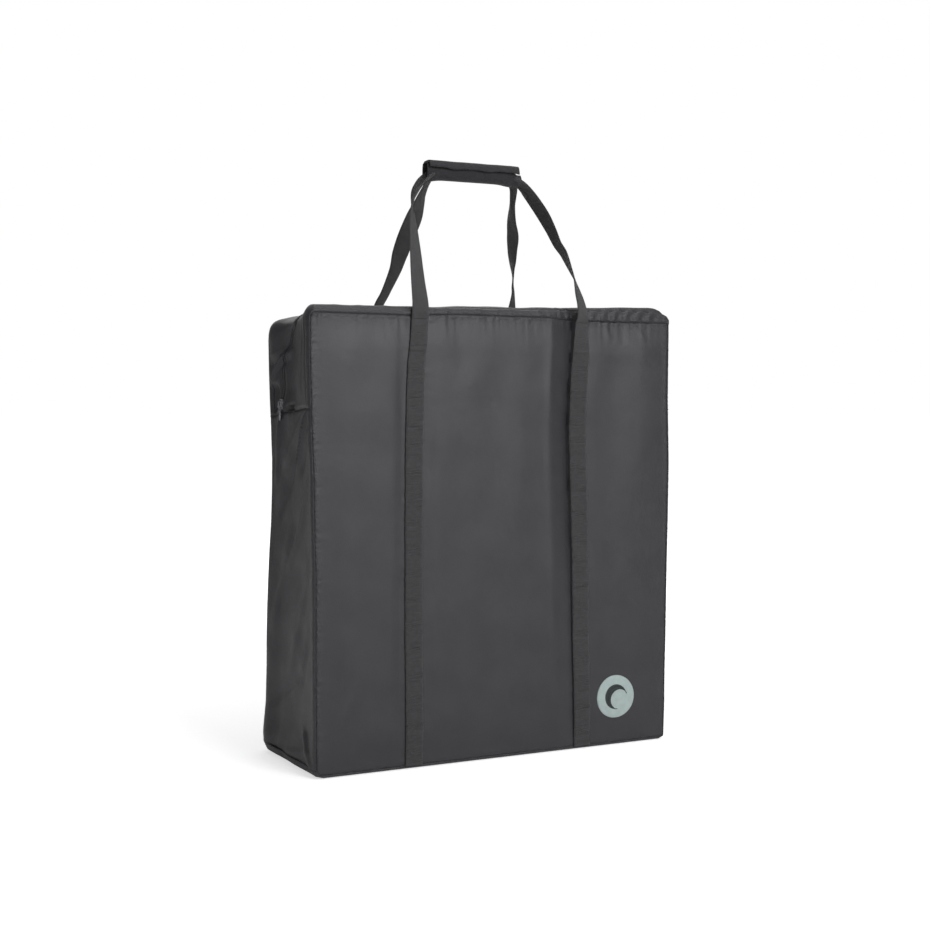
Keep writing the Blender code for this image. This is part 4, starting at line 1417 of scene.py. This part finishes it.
def ribbon(name, centres, across, facing, sizes, gathers=0.0, curl=None):
    """Flat webbing along a line: across and facing are unit vectors, curl bends it round its length."""
    edge = np.where(np.abs(WEB_PROFILE) > 0.99, 0.45, 1.0)
    half, thick = sizes.web_width / 2, sizes.web_thick / 2
    bend = np.maximum(np.zeros(len(centres)) if curl is None else np.radians(curl), 1e-4)[:, None]
    angle = WEB_PROFILE * bend / 2
    radius = 2 * half / bend
    way = 1.0 if facing[-1][2] > 0 else -1.0
    cup = radius * (1 - np.cos(angle))
    cup = way * (cup - cup.mean(axis=1, keepdims=True))
    side, lift = (radius * np.sin(angle))[..., None], (cup + gathers)[..., None]
    middle = centres[:, None] + across[:, None] * side + facing[:, None] * lift
    outward = facing[:, None] * np.cos(angle)[..., None] - way * across[:, None] * np.sin(angle)[..., None]
    skin = outward * (edge * thick)[None, :, None]
    rings = np.concatenate([middle + skin, (middle - skin)[:, ::-1]], axis=1)
    run = lengths_along(centres[:, None], 0)[:, 0]
    width = np.concatenate([WEB_PROFILE, WEB_PROFILE[::-1], WEB_PROFILE[:1]]) * half
    uv = np.stack(np.meshgrid(width, run), axis=-1)
    return loft_object(name, rings, "webbing", uv)


def sewn_line(name):
    """Distance along a sewn webbing, its middle line, and unit vectors across it and out of its face."""
    sizes = bpy.context.scene.playpen_sizes
    face = -1 if "front" in name else 1
    rough = smooth_route(SEWN_ROUTES[name], 90)
    length = lengths_along(rough[:, None], 0)[:, 0]
    run = spaced(0, length[-1], 0.0009)
    x = np.interp(run, length, rough[:, 0]) + 0.0003 * ripples(run, 0.021, len(name))
    z = np.interp(run, length, rough[:, 1])
    places = np.linspace(-1, 1, 7) * sizes.web_width / 2
    out = np.stack([np.abs(panel_point(x + place, z, face)[:, 1]) for place in places], axis=1)
    angle = softened(face * np.arctan2(out[:, -1] - out[:, 0], sizes.web_width), 18)
    hold = ramp(z, 0.545, STRAP_FOOT)
    first_turn = STRAP_ROUTES[name.replace("webbing", "strap")][0][3]
    angle = angle * (1 - hold) + math.radians(0.8 * first_turn) * hold
    stand = (out - face * places * np.sin(angle)[:, None]).max(axis=1)
    stand = np.maximum(softened(stand, 12), stand) + sizes.web_thick / 2 + 0.0004
    centres = np.stack([x, face * stand, z], axis=-1)
    across = np.stack([np.cos(angle), np.sin(angle), np.zeros_like(angle)], axis=-1)
    return run, centres, across, -face * np.cross(across, [0.0, 0.0, -1.0])


class PLAYPEN_OT_sewn_webbing(PlaypenPiece, bpy.types.Operator):
    """Webbing stitched down the front and back, gathered by its stitching"""

    bl_idname = "playpen.sewn_webbing"
    bl_label = "Sewn webbing"

    def make(self, sizes):
        for number, name in enumerate(SEWN_ROUTES):
            run, centres, across, facing = sewn_line(name)
            hold = 1.0 - 0.7 * np.exp(-((np.abs(WEB_PROFILE) - 0.84) / 0.10) ** 2)
            skewed = ripples(run[:, None] + 0.0012 * WEB_PROFILE, sizes.ruche_pitch, number + 0.5)
            fine = ripples(run[:, None] - 0.0008 * WEB_PROFILE, sizes.ruche_pitch * 0.62, number + 2.5)
            fade = ramp(run, 0.0, 0.02)[:, None]
            gathers = sizes.ruche * fade * (0.6 * skewed + 0.4 * fine) * hold
            item = ribbon(f"{name}_ribbon", centres, across, facing, sizes, gathers)
            ride(item, "root", "webbing", name)
            for side, label in ((-1, "left"), (1, "right")):
                inset = sizes.web_width / 2 - STITCH_INSET
                points = centres + across * side * inset + facing * sizes.web_thick / 2
                stitches = stitch_row(f"{name}_stitches_{label}", points[::4], facing[::4], number)
                ride(stitches, "root", "webbing")


def strap_lines(name):
    """Centre line of free webbing, unit vectors across it and out of its face, and its curl."""
    _, centres, across, _ = sewn_line(name.replace("strap", "webbing"))
    foot = (*centres[0][:2], STRAP_FOOT + 0.0004, math.degrees(math.atan2(across[0][1], across[0][0])), 0)
    rows = smooth_route([foot] + STRAP_ROUTES[name], 12)
    centres = rows[:, :3]
    tangent = np.gradient(centres, axis=0)
    tangent[0] = (0, 0, 1)
    tangent /= np.linalg.norm(tangent, axis=1, keepdims=True)
    across = np.cross([0.0, 1.0, 0.0], tangent)
    across /= np.linalg.norm(across, axis=1, keepdims=True)
    facing = np.cross(tangent, across)
    turn = np.radians(rows[:, 3])[:, None]
    turned = across * np.cos(turn) + facing * np.sin(turn)
    return centres, turned, np.cross(turned, tangent), np.maximum(rows[:, 4], 0)


class PLAYPEN_OT_handles(PlaypenPiece, bpy.types.Operator):
    """The four free legs of webbing, and the webbing in the grip"""

    bl_idname = "playpen.handles"
    bl_label = "Handles"

    def make(self, sizes):
        for name, route in STRAP_ROUTES.items():
            centres, across, facing, curl = strap_lines(name)
            item = ribbon(f"{name}_ribbon", centres, across, facing, sizes, curl=curl)
            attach(item, "root")
            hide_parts(name)
            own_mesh(item)
        for name in ("grip_webbing_front", "grip_webbing_rear"):
            low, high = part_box(name)
            x = spaced(low.x + 0.014, high.x - 0.014, 0.004)
            height = GRIP_WEB_Z + (0.0 if "front" in name else 0.0026)
            centres = np.stack([x, np.full_like(x, GRIP_MIDDLE), np.full_like(x, height)], axis=-1)
            across = np.tile([0.0, 1.0, 0.0], (len(x), 1))
            facing = np.tile([0.0, 0.0, 1.0], (len(x), 1))
            folded = np.full(len(x), 200.0 if "front" in name else 235.0)
            item = ribbon(f"{name}_ribbon", centres, across, facing, sizes, curl=folded)
            ride(item, "grip", "webbing", name)


# ---------------------------------------------------------------------------
# Operators: the grip, the slider, the badge
# ---------------------------------------------------------------------------

def wall_section(path, thickness):
    """Closed outline of a padded wall along a path of y, z points, with round ends."""
    path = np.array(path, float)
    tangent = np.gradient(path, axis=0)
    tangent /= np.linalg.norm(tangent, axis=1, keepdims=True)
    normal = np.stack([tangent[:, 1], -tangent[:, 0]], axis=-1)
    half = thickness / 2
    ends = []
    for place, way in ((-1, 1), (0, -1)):
        for angle in (-60, -30, 0, 30, 60):
            turn = math.radians(angle) * way
            along, side = math.cos(turn) * way, math.sin(turn) * -1
            ends.append(path[place] + half * (tangent[place] * along + normal[place] * side * way * -1))
    outer, inner = path + normal * half, path - normal * half
    return np.concatenate([outer, ends[:5][::-1], inner[::-1], ends[5:][::-1]])


class PLAYPEN_OT_grip(PlaypenPiece, bpy.types.Operator):
    """The padded wrap grip and its flap"""

    bl_idname = "playpen.grip"
    bl_label = "Grip"

    def make(self, sizes):
        self.wrap()
        self.flap()
        for name in ("hook_strip", "loop_strip"):
            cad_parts[name].data.materials.clear()
            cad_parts[name].data.materials.append(material("pile"))

    def rings(self, outline_at, start, end, count):
        """Rings of an outline along X, drawn in a little at both ends."""
        made = []
        for part in np.linspace(0, 1, count):
            x = start + (end - start) * part
            outline = outline_at(part)
            made.append(np.column_stack([np.full(len(outline), x), outline]))
        return np.array(made)

    def wrap(self):
        """The padded wall round the webbing, open along its top, its right end cut on a slant."""
        low, high = WRAP_FLOOR, GRIP_HIGH.z
        base = [
            (-0.0060, high - 0.0010), (-0.0080, high - 0.0060), (-0.0086, low + 0.0130),
            (-0.0076, low + 0.0062), (-0.0042, low + 0.0018), (0.0, low + 0.0012),
            (0.0042, low + 0.0018), (0.0076, low + 0.0062), (0.0084, low + 0.0130),
            (0.0080, high - 0.0050), (0.0070, high - 0.0010),
        ]
        # creases across the wall: place along the grip, lean, half width, depth
        creases = ((0.12, 0.0, 0.012, 0.0005), (0.57, 0.04, 0.010, 0.0006), (0.86, -0.03, 0.009, 0.0007))

        def outline(part):
            swell = 0.0004 * math.sin(19 * part) + 0.0003 * math.sin(31 * part + 1)
            droop = 0.0030 * math.exp(-((part - 0.02) / 0.09) ** 2)
            droop += 0.0026 * math.exp(-((part - 0.93) / 0.10) ** 2)
            rows = []
            for y, z in base:
                depth = (high - z) / (high - low)
                z -= 0.0095 * ramp(part, 0.90, 0.965) * (1 - depth)
                crease = 0.0
                for place, lean, half, most in creases:
                    away = (part - place - lean * depth) / half
                    crease += most * math.sin(math.pi * depth) * math.exp(-away ** 2)
                y += swell * (y / 0.008) - math.copysign(crease, y)
                rows.append((GRIP_MIDDLE + y, z - droop * depth))
            return wall_section(smooth_route(rows, 6), PAD_WALL)

        rings = self.rings(outline, GRIP_LOW.x + 0.0002, GRIP_HIGH.x - 0.0002, 90)
        far = ramp(rings[..., 0], 0.030, GRIP_HIGH.x)
        rings[..., 0] -= 0.0085 * far * np.clip((rings[..., 1] - GRIP_MIDDLE) / 0.0095 + 0.3, 0, 1)
        item = self.padded_loft("grip_wrap_pad", rings)
        ride(item, "grip", "grip_padding", "grip_wrap")

    def flap(self):
        """The flap that closes the wrap: it hinges along its rear edge and laps over the front."""
        high = FLAP_HIGH.z
        front, rear = FLAP_LOW.y - GRIP_MIDDLE, FLAP_HIGH.y - GRIP_MIDDLE
        base = [
            (rear - 0.0008, high - 0.0040), (rear - 0.0040, high - 0.0018), (0.0, high - 0.0014),
            (front + 0.0060, high - 0.0016), (front + 0.0026, high - 0.0030), (front + 0.0010, high - 0.0064),
            (front + 0.0002, FLAP_EDGE + 0.0004),
        ]

        def outline(part):
            wave = 0.0006 * math.sin(17 * part) + 0.0004 * math.sin(33 * part + 2)
            lip = 0.0012 * math.exp(-(part / 0.16) ** 2) - 0.0010 * ramp(part, 0.90, 1.0)
            rows = []
            for y, z in base:
                down = (high - z) / (high - FLAP_EDGE)
                lean = 0.0006 * down * math.sin(9 * part)
                rows.append((GRIP_MIDDLE + y - lean, z + (wave + lip) * down * (y < 0)))
            return wall_section(smooth_route(rows, 6), PAD_WALL)

        item = self.padded_loft("grip_flap_pad", self.rings(outline, FLAP_LOW.x, FLAP_HIGH.x, 70))
        ride(item, "flap", "grip_padding", "grip_flap")

    def padded_loft(self, name, rings):
        """Loft rings, with ends rounded by shrinking the outermost rings."""
        count = len(rings)
        for index, ring in enumerate(rings):
            near = min(index, count - 1 - index)
            if near < 3:
                centre = rings[index].mean(axis=0)
                share = (0.985, 0.995, 0.999)[near]
                ring[:, 1:] = centre[1:] + (ring[:, 1:] - centre[1:]) * share
        run = lengths_along(rings, 0)
        around = lengths_along(rings, 1)
        around = np.concatenate([around, around[:, -1:] + 0.003], axis=1)
        run = np.concatenate([run, run[:, :1]], axis=1)
        return loft_object(name, rings, "padding", np.stack([around, run], axis=-1))


class PLAYPEN_OT_slider(PlaypenPiece, bpy.types.Operator):
    """Zip slider and pull"""

    bl_idname = "playpen.slider"
    bl_label = "Zip slider"

    def make(self, sizes):
        for name, body in (("zip_slider", "slider"), ("zip_pull", "pull")):
            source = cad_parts[name].data
            built = bmesh.new()
            built.from_mesh(source)
            bmesh.ops.remove_doubles(built, verts=built.verts, dist=1e-5)
            bmesh.ops.dissolve_limit(
                built, angle_limit=math.radians(2), verts=built.verts, edges=built.edges, delimit={"NORMAL"})
            mesh = bpy.data.meshes.new(f"{name}_cast")
            built.to_mesh(mesh)
            built.free()
            mesh.materials.clear()
            mesh.materials.append(material("zinc"))
            item = link(f"{name}_cast", mesh)
            bevel = item.modifiers.new("cast_edges", "BEVEL")
            bevel.width = 0.00035
            bevel.segments = 3
            bevel.limit_method = "ANGLE"
            bevel.angle_limit = math.radians(40)
            settle(item)
            smooth(item.data, 35)
            ride(item, body, "zip_metal", name)


class PLAYPEN_OT_badge(PlaypenPiece, bpy.types.Operator):
    """Round badge with a plain crescent"""

    bl_idname = "playpen.badge"
    bl_label = "Badge"

    def make(self, sizes):
        centre = ((BADGE_LOW.x + BADGE_HIGH.x) / 2, (BADGE_LOW.z + BADGE_HIGH.z) / 2)
        radius = (BADGE_HIGH.x - BADGE_LOW.x) / 2 * 1.03
        disc = self.disc("badge_disc", centre, radius, 0.0009)
        ride(disc, "root", "badge", "badge")
        mark = self.crescent("badge_mark", centre, radius * 0.58, 0.0012)
        ride(mark, "root", "badge")

    def film(self, name, rings, lift, stuff):
        """A thin film on the front cloth from rings of x, z points, the innermost last."""
        points = []
        for index, ring in enumerate(rings):
            flat = panel_point(ring[:, 0], ring[:, 1], -1)
            edge = 0.0 if index == 0 else (0.7 if index == 1 else 1.0)
            flat[:, 1] -= lift * edge + 0.0001
            points.append(flat)
        grid = np.array(points)
        uv = grid[..., [0, 2]]
        closed = [np.concatenate([part, part[:, :1]], axis=1) for part in (grid, uv)]
        item = grid_object(name, *closed, stuff)
        built = bmesh.new()
        built.from_mesh(item.data)
        bmesh.ops.remove_doubles(built, verts=built.verts, dist=1e-6)
        built.to_mesh(item.data)
        built.free()
        turn_outward(item, (0, 0.5, 0.07))
        return thicken(item, 0.0006)

    def disc(self, name, centre, radius, lift):
        """A round film."""
        angles = np.linspace(0, 2 * np.pi, 96, endpoint=False)
        rings = []
        for share in (1.0, 0.985, 0.95, 0.85, 0.7, 0.5, 0.3, 0.1, 0.0):
            rings.append(np.column_stack([
                centre[0] + share * radius * np.cos(angles), centre[1] + share * radius * np.sin(angles)]))
        return self.film(name, rings, lift, "badge")

    def crescent(self, name, centre, radius, lift):
        """A crescent: a round outline with a smaller circle taken out of one side."""
        outer = np.linspace(math.radians(50), math.radians(310), 60)
        inner = np.linspace(math.radians(285), math.radians(75), 60)
        bite = (radius * 0.46, radius * 0.795)
        line = [(radius * math.cos(a), radius * math.sin(a)) for a in outer]
        line += [(bite[0] + bite[1] * math.cos(a), bite[1] * math.sin(a)) for a in inner]
        line = np.array(line)
        spine_angle = np.concatenate([outer, inner])
        spine = np.column_stack([
            0.20 * radius + 0.86 * radius * np.cos(spine_angle), 0.90 * radius * np.sin(spine_angle)])
        turn = math.radians(-35)
        spin = np.array([[math.cos(turn), -math.sin(turn)], [math.sin(turn), math.cos(turn)]])
        rings = []
        for share in (0.0, 0.06, 0.2, 0.6, 1.0):
            ring = line * (1 - share) + spine * share
            rings.append(ring @ spin.T + np.array(centre))
        return self.film(name, rings, lift, "mark")


# ---------------------------------------------------------------------------
# Operators: what is inside
# ---------------------------------------------------------------------------

def swell(item, pressure, most):
    """Swell a closed mesh with cloth pressure, and cap how far its points move."""
    remesh = item.modifiers.new("even_mesh", "REMESH")
    remesh.mode = "VOXEL"
    remesh.voxel_size = 0.006
    settle(item)
    rest = np.array([v.co for v in item.data.vertices])
    cloth = item.modifiers.new("pressure", "CLOTH")
    cloth.settings.use_pressure = True
    cloth.settings.uniform_pressure_force = pressure
    cloth.settings.effector_weights.gravity = 0.0
    cloth.settings.quality = 4
    cloth.point_cache.frame_start = 1
    cloth.point_cache.frame_end = 20
    scene = bpy.context.scene
    for step in range(1, 21):
        scene.frame_set(step)
    moved = item.evaluated_get(bpy.context.evaluated_depsgraph_get()).data
    after = np.array([v.co for v in moved.vertices])
    item.modifiers.clear()
    scene.frame_set(1)
    shift = after - rest
    size = np.linalg.norm(shift, axis=1, keepdims=True)
    capped = rest + shift * np.minimum(1.0, most / np.maximum(size, 1e-9))
    item.data.vertices.foreach_set("co", capped.astype(np.float32).ravel())
    item.data.update()


class PLAYPEN_OT_mattress(PlaypenPiece, bpy.types.Operator):
    """The two padded mattress sections, swelled by cloth pressure"""

    bl_idname = "playpen.mattress"
    bl_label = "Mattress"

    def make(self, sizes):
        for name in ("mattress_section_front", "mattress_section_rear"):
            low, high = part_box(name)
            inset = Vector((0.006, 0.0055, 0.006))
            item = self.pad(f"{name}_pad", low + inset, high - inset)
            swell(item, 4.0, 0.0048)
            self.press(item, -1 if "front" in name else 1, sizes)
            smooth(item.data, 80)
            self.piping(name, low, high)
            ride(item, "root", "mattress_cloth", name)

    def pad(self, name, low, high):
        """A soft box to start from."""
        built = bmesh.new()
        bmesh.ops.create_cube(built, size=1.0)
        for vert in built.verts:
            for axis in range(3):
                vert.co[axis] = low[axis] if vert.co[axis] < 0 else high[axis]
        mesh = bpy.data.meshes.new(name)
        built.to_mesh(mesh)
        built.free()
        mesh.materials.append(material("ticking"))
        item = link(name, mesh)
        bevel = item.modifiers.new("soft_edges", "BEVEL")
        bevel.width = 0.008
        bevel.segments = 5
        return settle(item)

    def press(self, item, face, sizes):
        """Keep the pad under the panel's cloth, which presses it in beside the webbing."""
        places = np.array([v.co for v in item.data.vertices])
        x, z = places[:, 0], np.minimum(places[:, 2], 0.585)
        under = face_depth(z, face) + panel_bulge(x, z, face) - sizes.cloth - 0.0030
        places[:, 1] = face * np.minimum(face * places[:, 1], under)
        item.data.vertices.foreach_set("co", places.astype(np.float32).ravel())
        item.data.update()

    def piping(self, name, low, high):
        """Piping along the two long edges of the pad's border."""
        for label, y in (("near", low.y + 0.0075), ("far", high.y - 0.0075)):
            corner = 0.02
            points = []
            for cx, cz, first in (
                    (high.x, high.z, 0), (low.x, high.z, 90), (low.x, low.z, 180), (high.x, low.z, 270)):
                x_mid = cx - math.copysign(corner + 0.003, cx)
                z_mid = cz - math.copysign(corner + 0.003, cz - 0.3)
                for angle in np.radians(np.linspace(first, first + 90, 7)):
                    points.append((x_mid + corner * math.cos(angle), y, z_mid + corner * math.sin(angle)))
            item = run_group(
                line_object(f"{name}_piping_{label}", points, closed=True), bead_group,
                {"Radius": 0.0016, "Material": material("netting")},
            )
            ride(item, "root", "mattress_cloth")


class PLAYPEN_OT_walls(PlaypenPiece, bpy.types.Operator):
    """The playpen's fabric walls, folded in pleats"""

    bl_idname = "playpen.walls"
    bl_label = "Folded walls"

    def make(self, sizes):
        low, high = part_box("folded_mesh_walls")
        layers = 8
        pitch = (high.y - low.y - 0.002) / layers
        turn = pitch / 2
        line = []
        for layer in range(layers):
            y = low.y + 0.001 + pitch * (layer + 0.5)
            ends = (low.x + 0.012 + 0.003 * (layer % 3), high.x - 0.012 - 0.004 * (layer % 2))
            xs = np.linspace(*ends, 40) if layer % 2 == 0 else np.linspace(*ends[::-1], 40)
            line += [(x, y) for x in xs]
            if layer < layers - 1:
                side = 1 if layer % 2 == 0 else -1
                for angle in np.radians((-60, -30, 0, 30, 60)):
                    line.append((xs[-1] + side * turn * math.cos(angle), y + turn + turn * math.sin(angle)))
        line = np.array(line)
        heights = spaced(low.z + 0.002, high.z - 0.004, 0.02)
        run, z = np.meshgrid(np.arange(len(line)), heights, indexing="ij")
        x, y = line[run, 0], line[run, 1]
        along = lengths_along(line[:, None], 0)[:, 0]
        y = y + 0.0005 * np.sin(along[run] * 46 + z * 30)
        z = z + 0.0025 * np.sin(along[run] * 9) * ramp(z, 0.5, high.z)
        points = np.stack([x, y, z], axis=-1)
        uv = np.stack([along[run], z], axis=-1)
        item = thicken(grid_object("folded_walls_cloth", points, uv, "netting"), 0.0010)
        ride(item, "root", "mesh_cloth", "folded_mesh_walls")


class PLAYPEN_OT_frame_finish(PlaypenPiece, bpy.types.Operator):
    """Finishes of the folded frame"""

    bl_idname = "playpen.frame_finish"
    bl_label = "Frame finish"

    def make(self, sizes):
        stuffs = (
            (("end_rail", "half_rail", "leg"), "steel", "frame_tube"),
            (("corner_joint", "fold_hub"), "moulding", "joint_plastic"),
            (("foot",), "rubber", "foot_rubber"),
        )
        for starts, stuff, slot in stuffs:
            for name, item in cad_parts.items():
                if name.startswith(starts):
                    item.data.materials.clear()
                    item.data.materials.append(material(stuff))


# ---------------------------------------------------------------------------
# Operator: the stage
# ---------------------------------------------------------------------------

class PLAYPEN_OT_stage(bpy.types.Operator):
    """Floor, lights and camera"""

    bl_idname = "playpen.stage"
    bl_label = "Stage"

    def execute(self, context):
        scene = context.scene
        scene.view_settings.view_transform = "Standard"
        self.floor()
        self.camera(scene)
        self.lights()
        self.world(scene)
        return {"FINISHED"}

    def floor(self):
        """A wide round floor of background paper."""
        built = bmesh.new()
        bmesh.ops.create_circle(built, cap_ends=True, segments=96, radius=40.0)
        mesh = bpy.data.meshes.new("studio_floor")
        built.to_mesh(mesh)
        built.free()
        mesh.materials.append(material("paper"))
        link("studio_floor", mesh)

    def camera(self, scene):
        """A level camera in front and to the left, a little below the bag's top."""
        azimuth = math.radians(-25.7062)
        back = Vector((math.sin(azimuth), -math.cos(azimuth), 0))
        right = Vector((math.cos(azimuth), math.sin(azimuth), 0))
        lens = bpy.data.cameras.new("camera")
        lens.lens = 56.995
        lens.sensor_width = 36.0
        lens.shift_y = -0.07282
        made = bpy.data.objects.new("camera", lens)
        made.location = back * 2.1002 + right * -0.00742 + Vector((0, 0, 0.49552))
        made.rotation_euler = (math.radians(90), 0, azimuth)
        scene.collection.objects.link(made)
        scene.camera = made

    def lights(self):
        """A soft key from the right and front, a weak fill from the left, lights above and behind."""
        for name, place, size, power in (
                ("key", (0.45, -2.3, 1.30), 1.0, 33.0), ("fill", (-2.6, -0.8, 0.9), 2.0, 4.0),
                ("above", (0.3, -0.3, 2.8), 1.8, 22.0), ("rear", (0.6, 2.6, 1.6), 2.0, 14.0)):
            lamp = bpy.data.lights.new(name, "AREA")
            lamp.size = size
            lamp.energy = power
            made = bpy.data.objects.new(name, lamp)
            made.location = place
            aim = Vector((0, 0, 0.32)) - Vector(place)
            made.rotation_euler = aim.to_track_quat("-Z", "Y").to_euler()
            bpy.context.scene.collection.objects.link(made)

    def world(self, scene):
        """White all round for the camera, and a softer white as light."""
        world = bpy.data.worlds.new("studio")
        scene.world = world
        world.use_nodes = True
        tree = world.node_tree
        ground = tree.nodes["Background"]
        ground.inputs["Color"].default_value = (1, 1, 1, 1)
        path = node(tree, "ShaderNodeLightPath")
        strength = node(tree, "ShaderNodeMapRange", {
            "Value": path.outputs["Is Camera Ray"], "To Min": 0.13, "To Max": 1.0,
        })
        tree.links.new(strength.outputs["Result"], ground.inputs["Strength"])


# ---------------------------------------------------------------------------
# Panel and registration
# ---------------------------------------------------------------------------

STEPS = (
    PLAYPEN_OT_stage, PLAYPEN_OT_panels, PLAYPEN_OT_sides, PLAYPEN_OT_top, PLAYPEN_OT_seams, PLAYPEN_OT_zip,
    PLAYPEN_OT_sewn_webbing, PLAYPEN_OT_handles, PLAYPEN_OT_grip, PLAYPEN_OT_slider, PLAYPEN_OT_badge,
    PLAYPEN_OT_mattress, PLAYPEN_OT_walls, PLAYPEN_OT_frame_finish,
)


class PLAYPEN_PT_sidebar(bpy.types.Panel):
    """Lists the pieces"""

    bl_idname = "PLAYPEN_PT_sidebar"
    bl_label = "Packed playpen"
    bl_space_type = "VIEW_3D"
    bl_region_type = "UI"
    bl_category = "Playpen"

    def draw(self, context):
        for group in (context.scene.playpen_sizes, context.scene.playpen_colours):
            for name in group.bl_rna.properties.keys():
                if name not in ("rna_type", "name"):
                    self.layout.prop(group, name)
        for step in STEPS:
            self.layout.operator(step.bl_idname)


CLASSES = (PlaypenSizes, PlaypenColours, *STEPS, PLAYPEN_PT_sidebar)


def register():
    """Register the classes and their properties."""
    for item in CLASSES:
        bpy.utils.register_class(item)
    bpy.types.Scene.playpen_sizes = bpy.props.PointerProperty(type=PlaypenSizes)
    bpy.types.Scene.playpen_colours = bpy.props.PointerProperty(type=PlaypenColours)


def unregister():
    """Take the classes and properties away again."""
    del bpy.types.Scene.playpen_sizes
    del bpy.types.Scene.playpen_colours
    for item in reversed(CLASSES):
        bpy.utils.unregister_class(item)


def main():
    """Make every piece."""
    register()
    for step in STEPS:
        group, name = step.bl_idname.split(".")
        getattr(getattr(bpy.ops, group), name)()


if __name__ == "__main__":
    main()
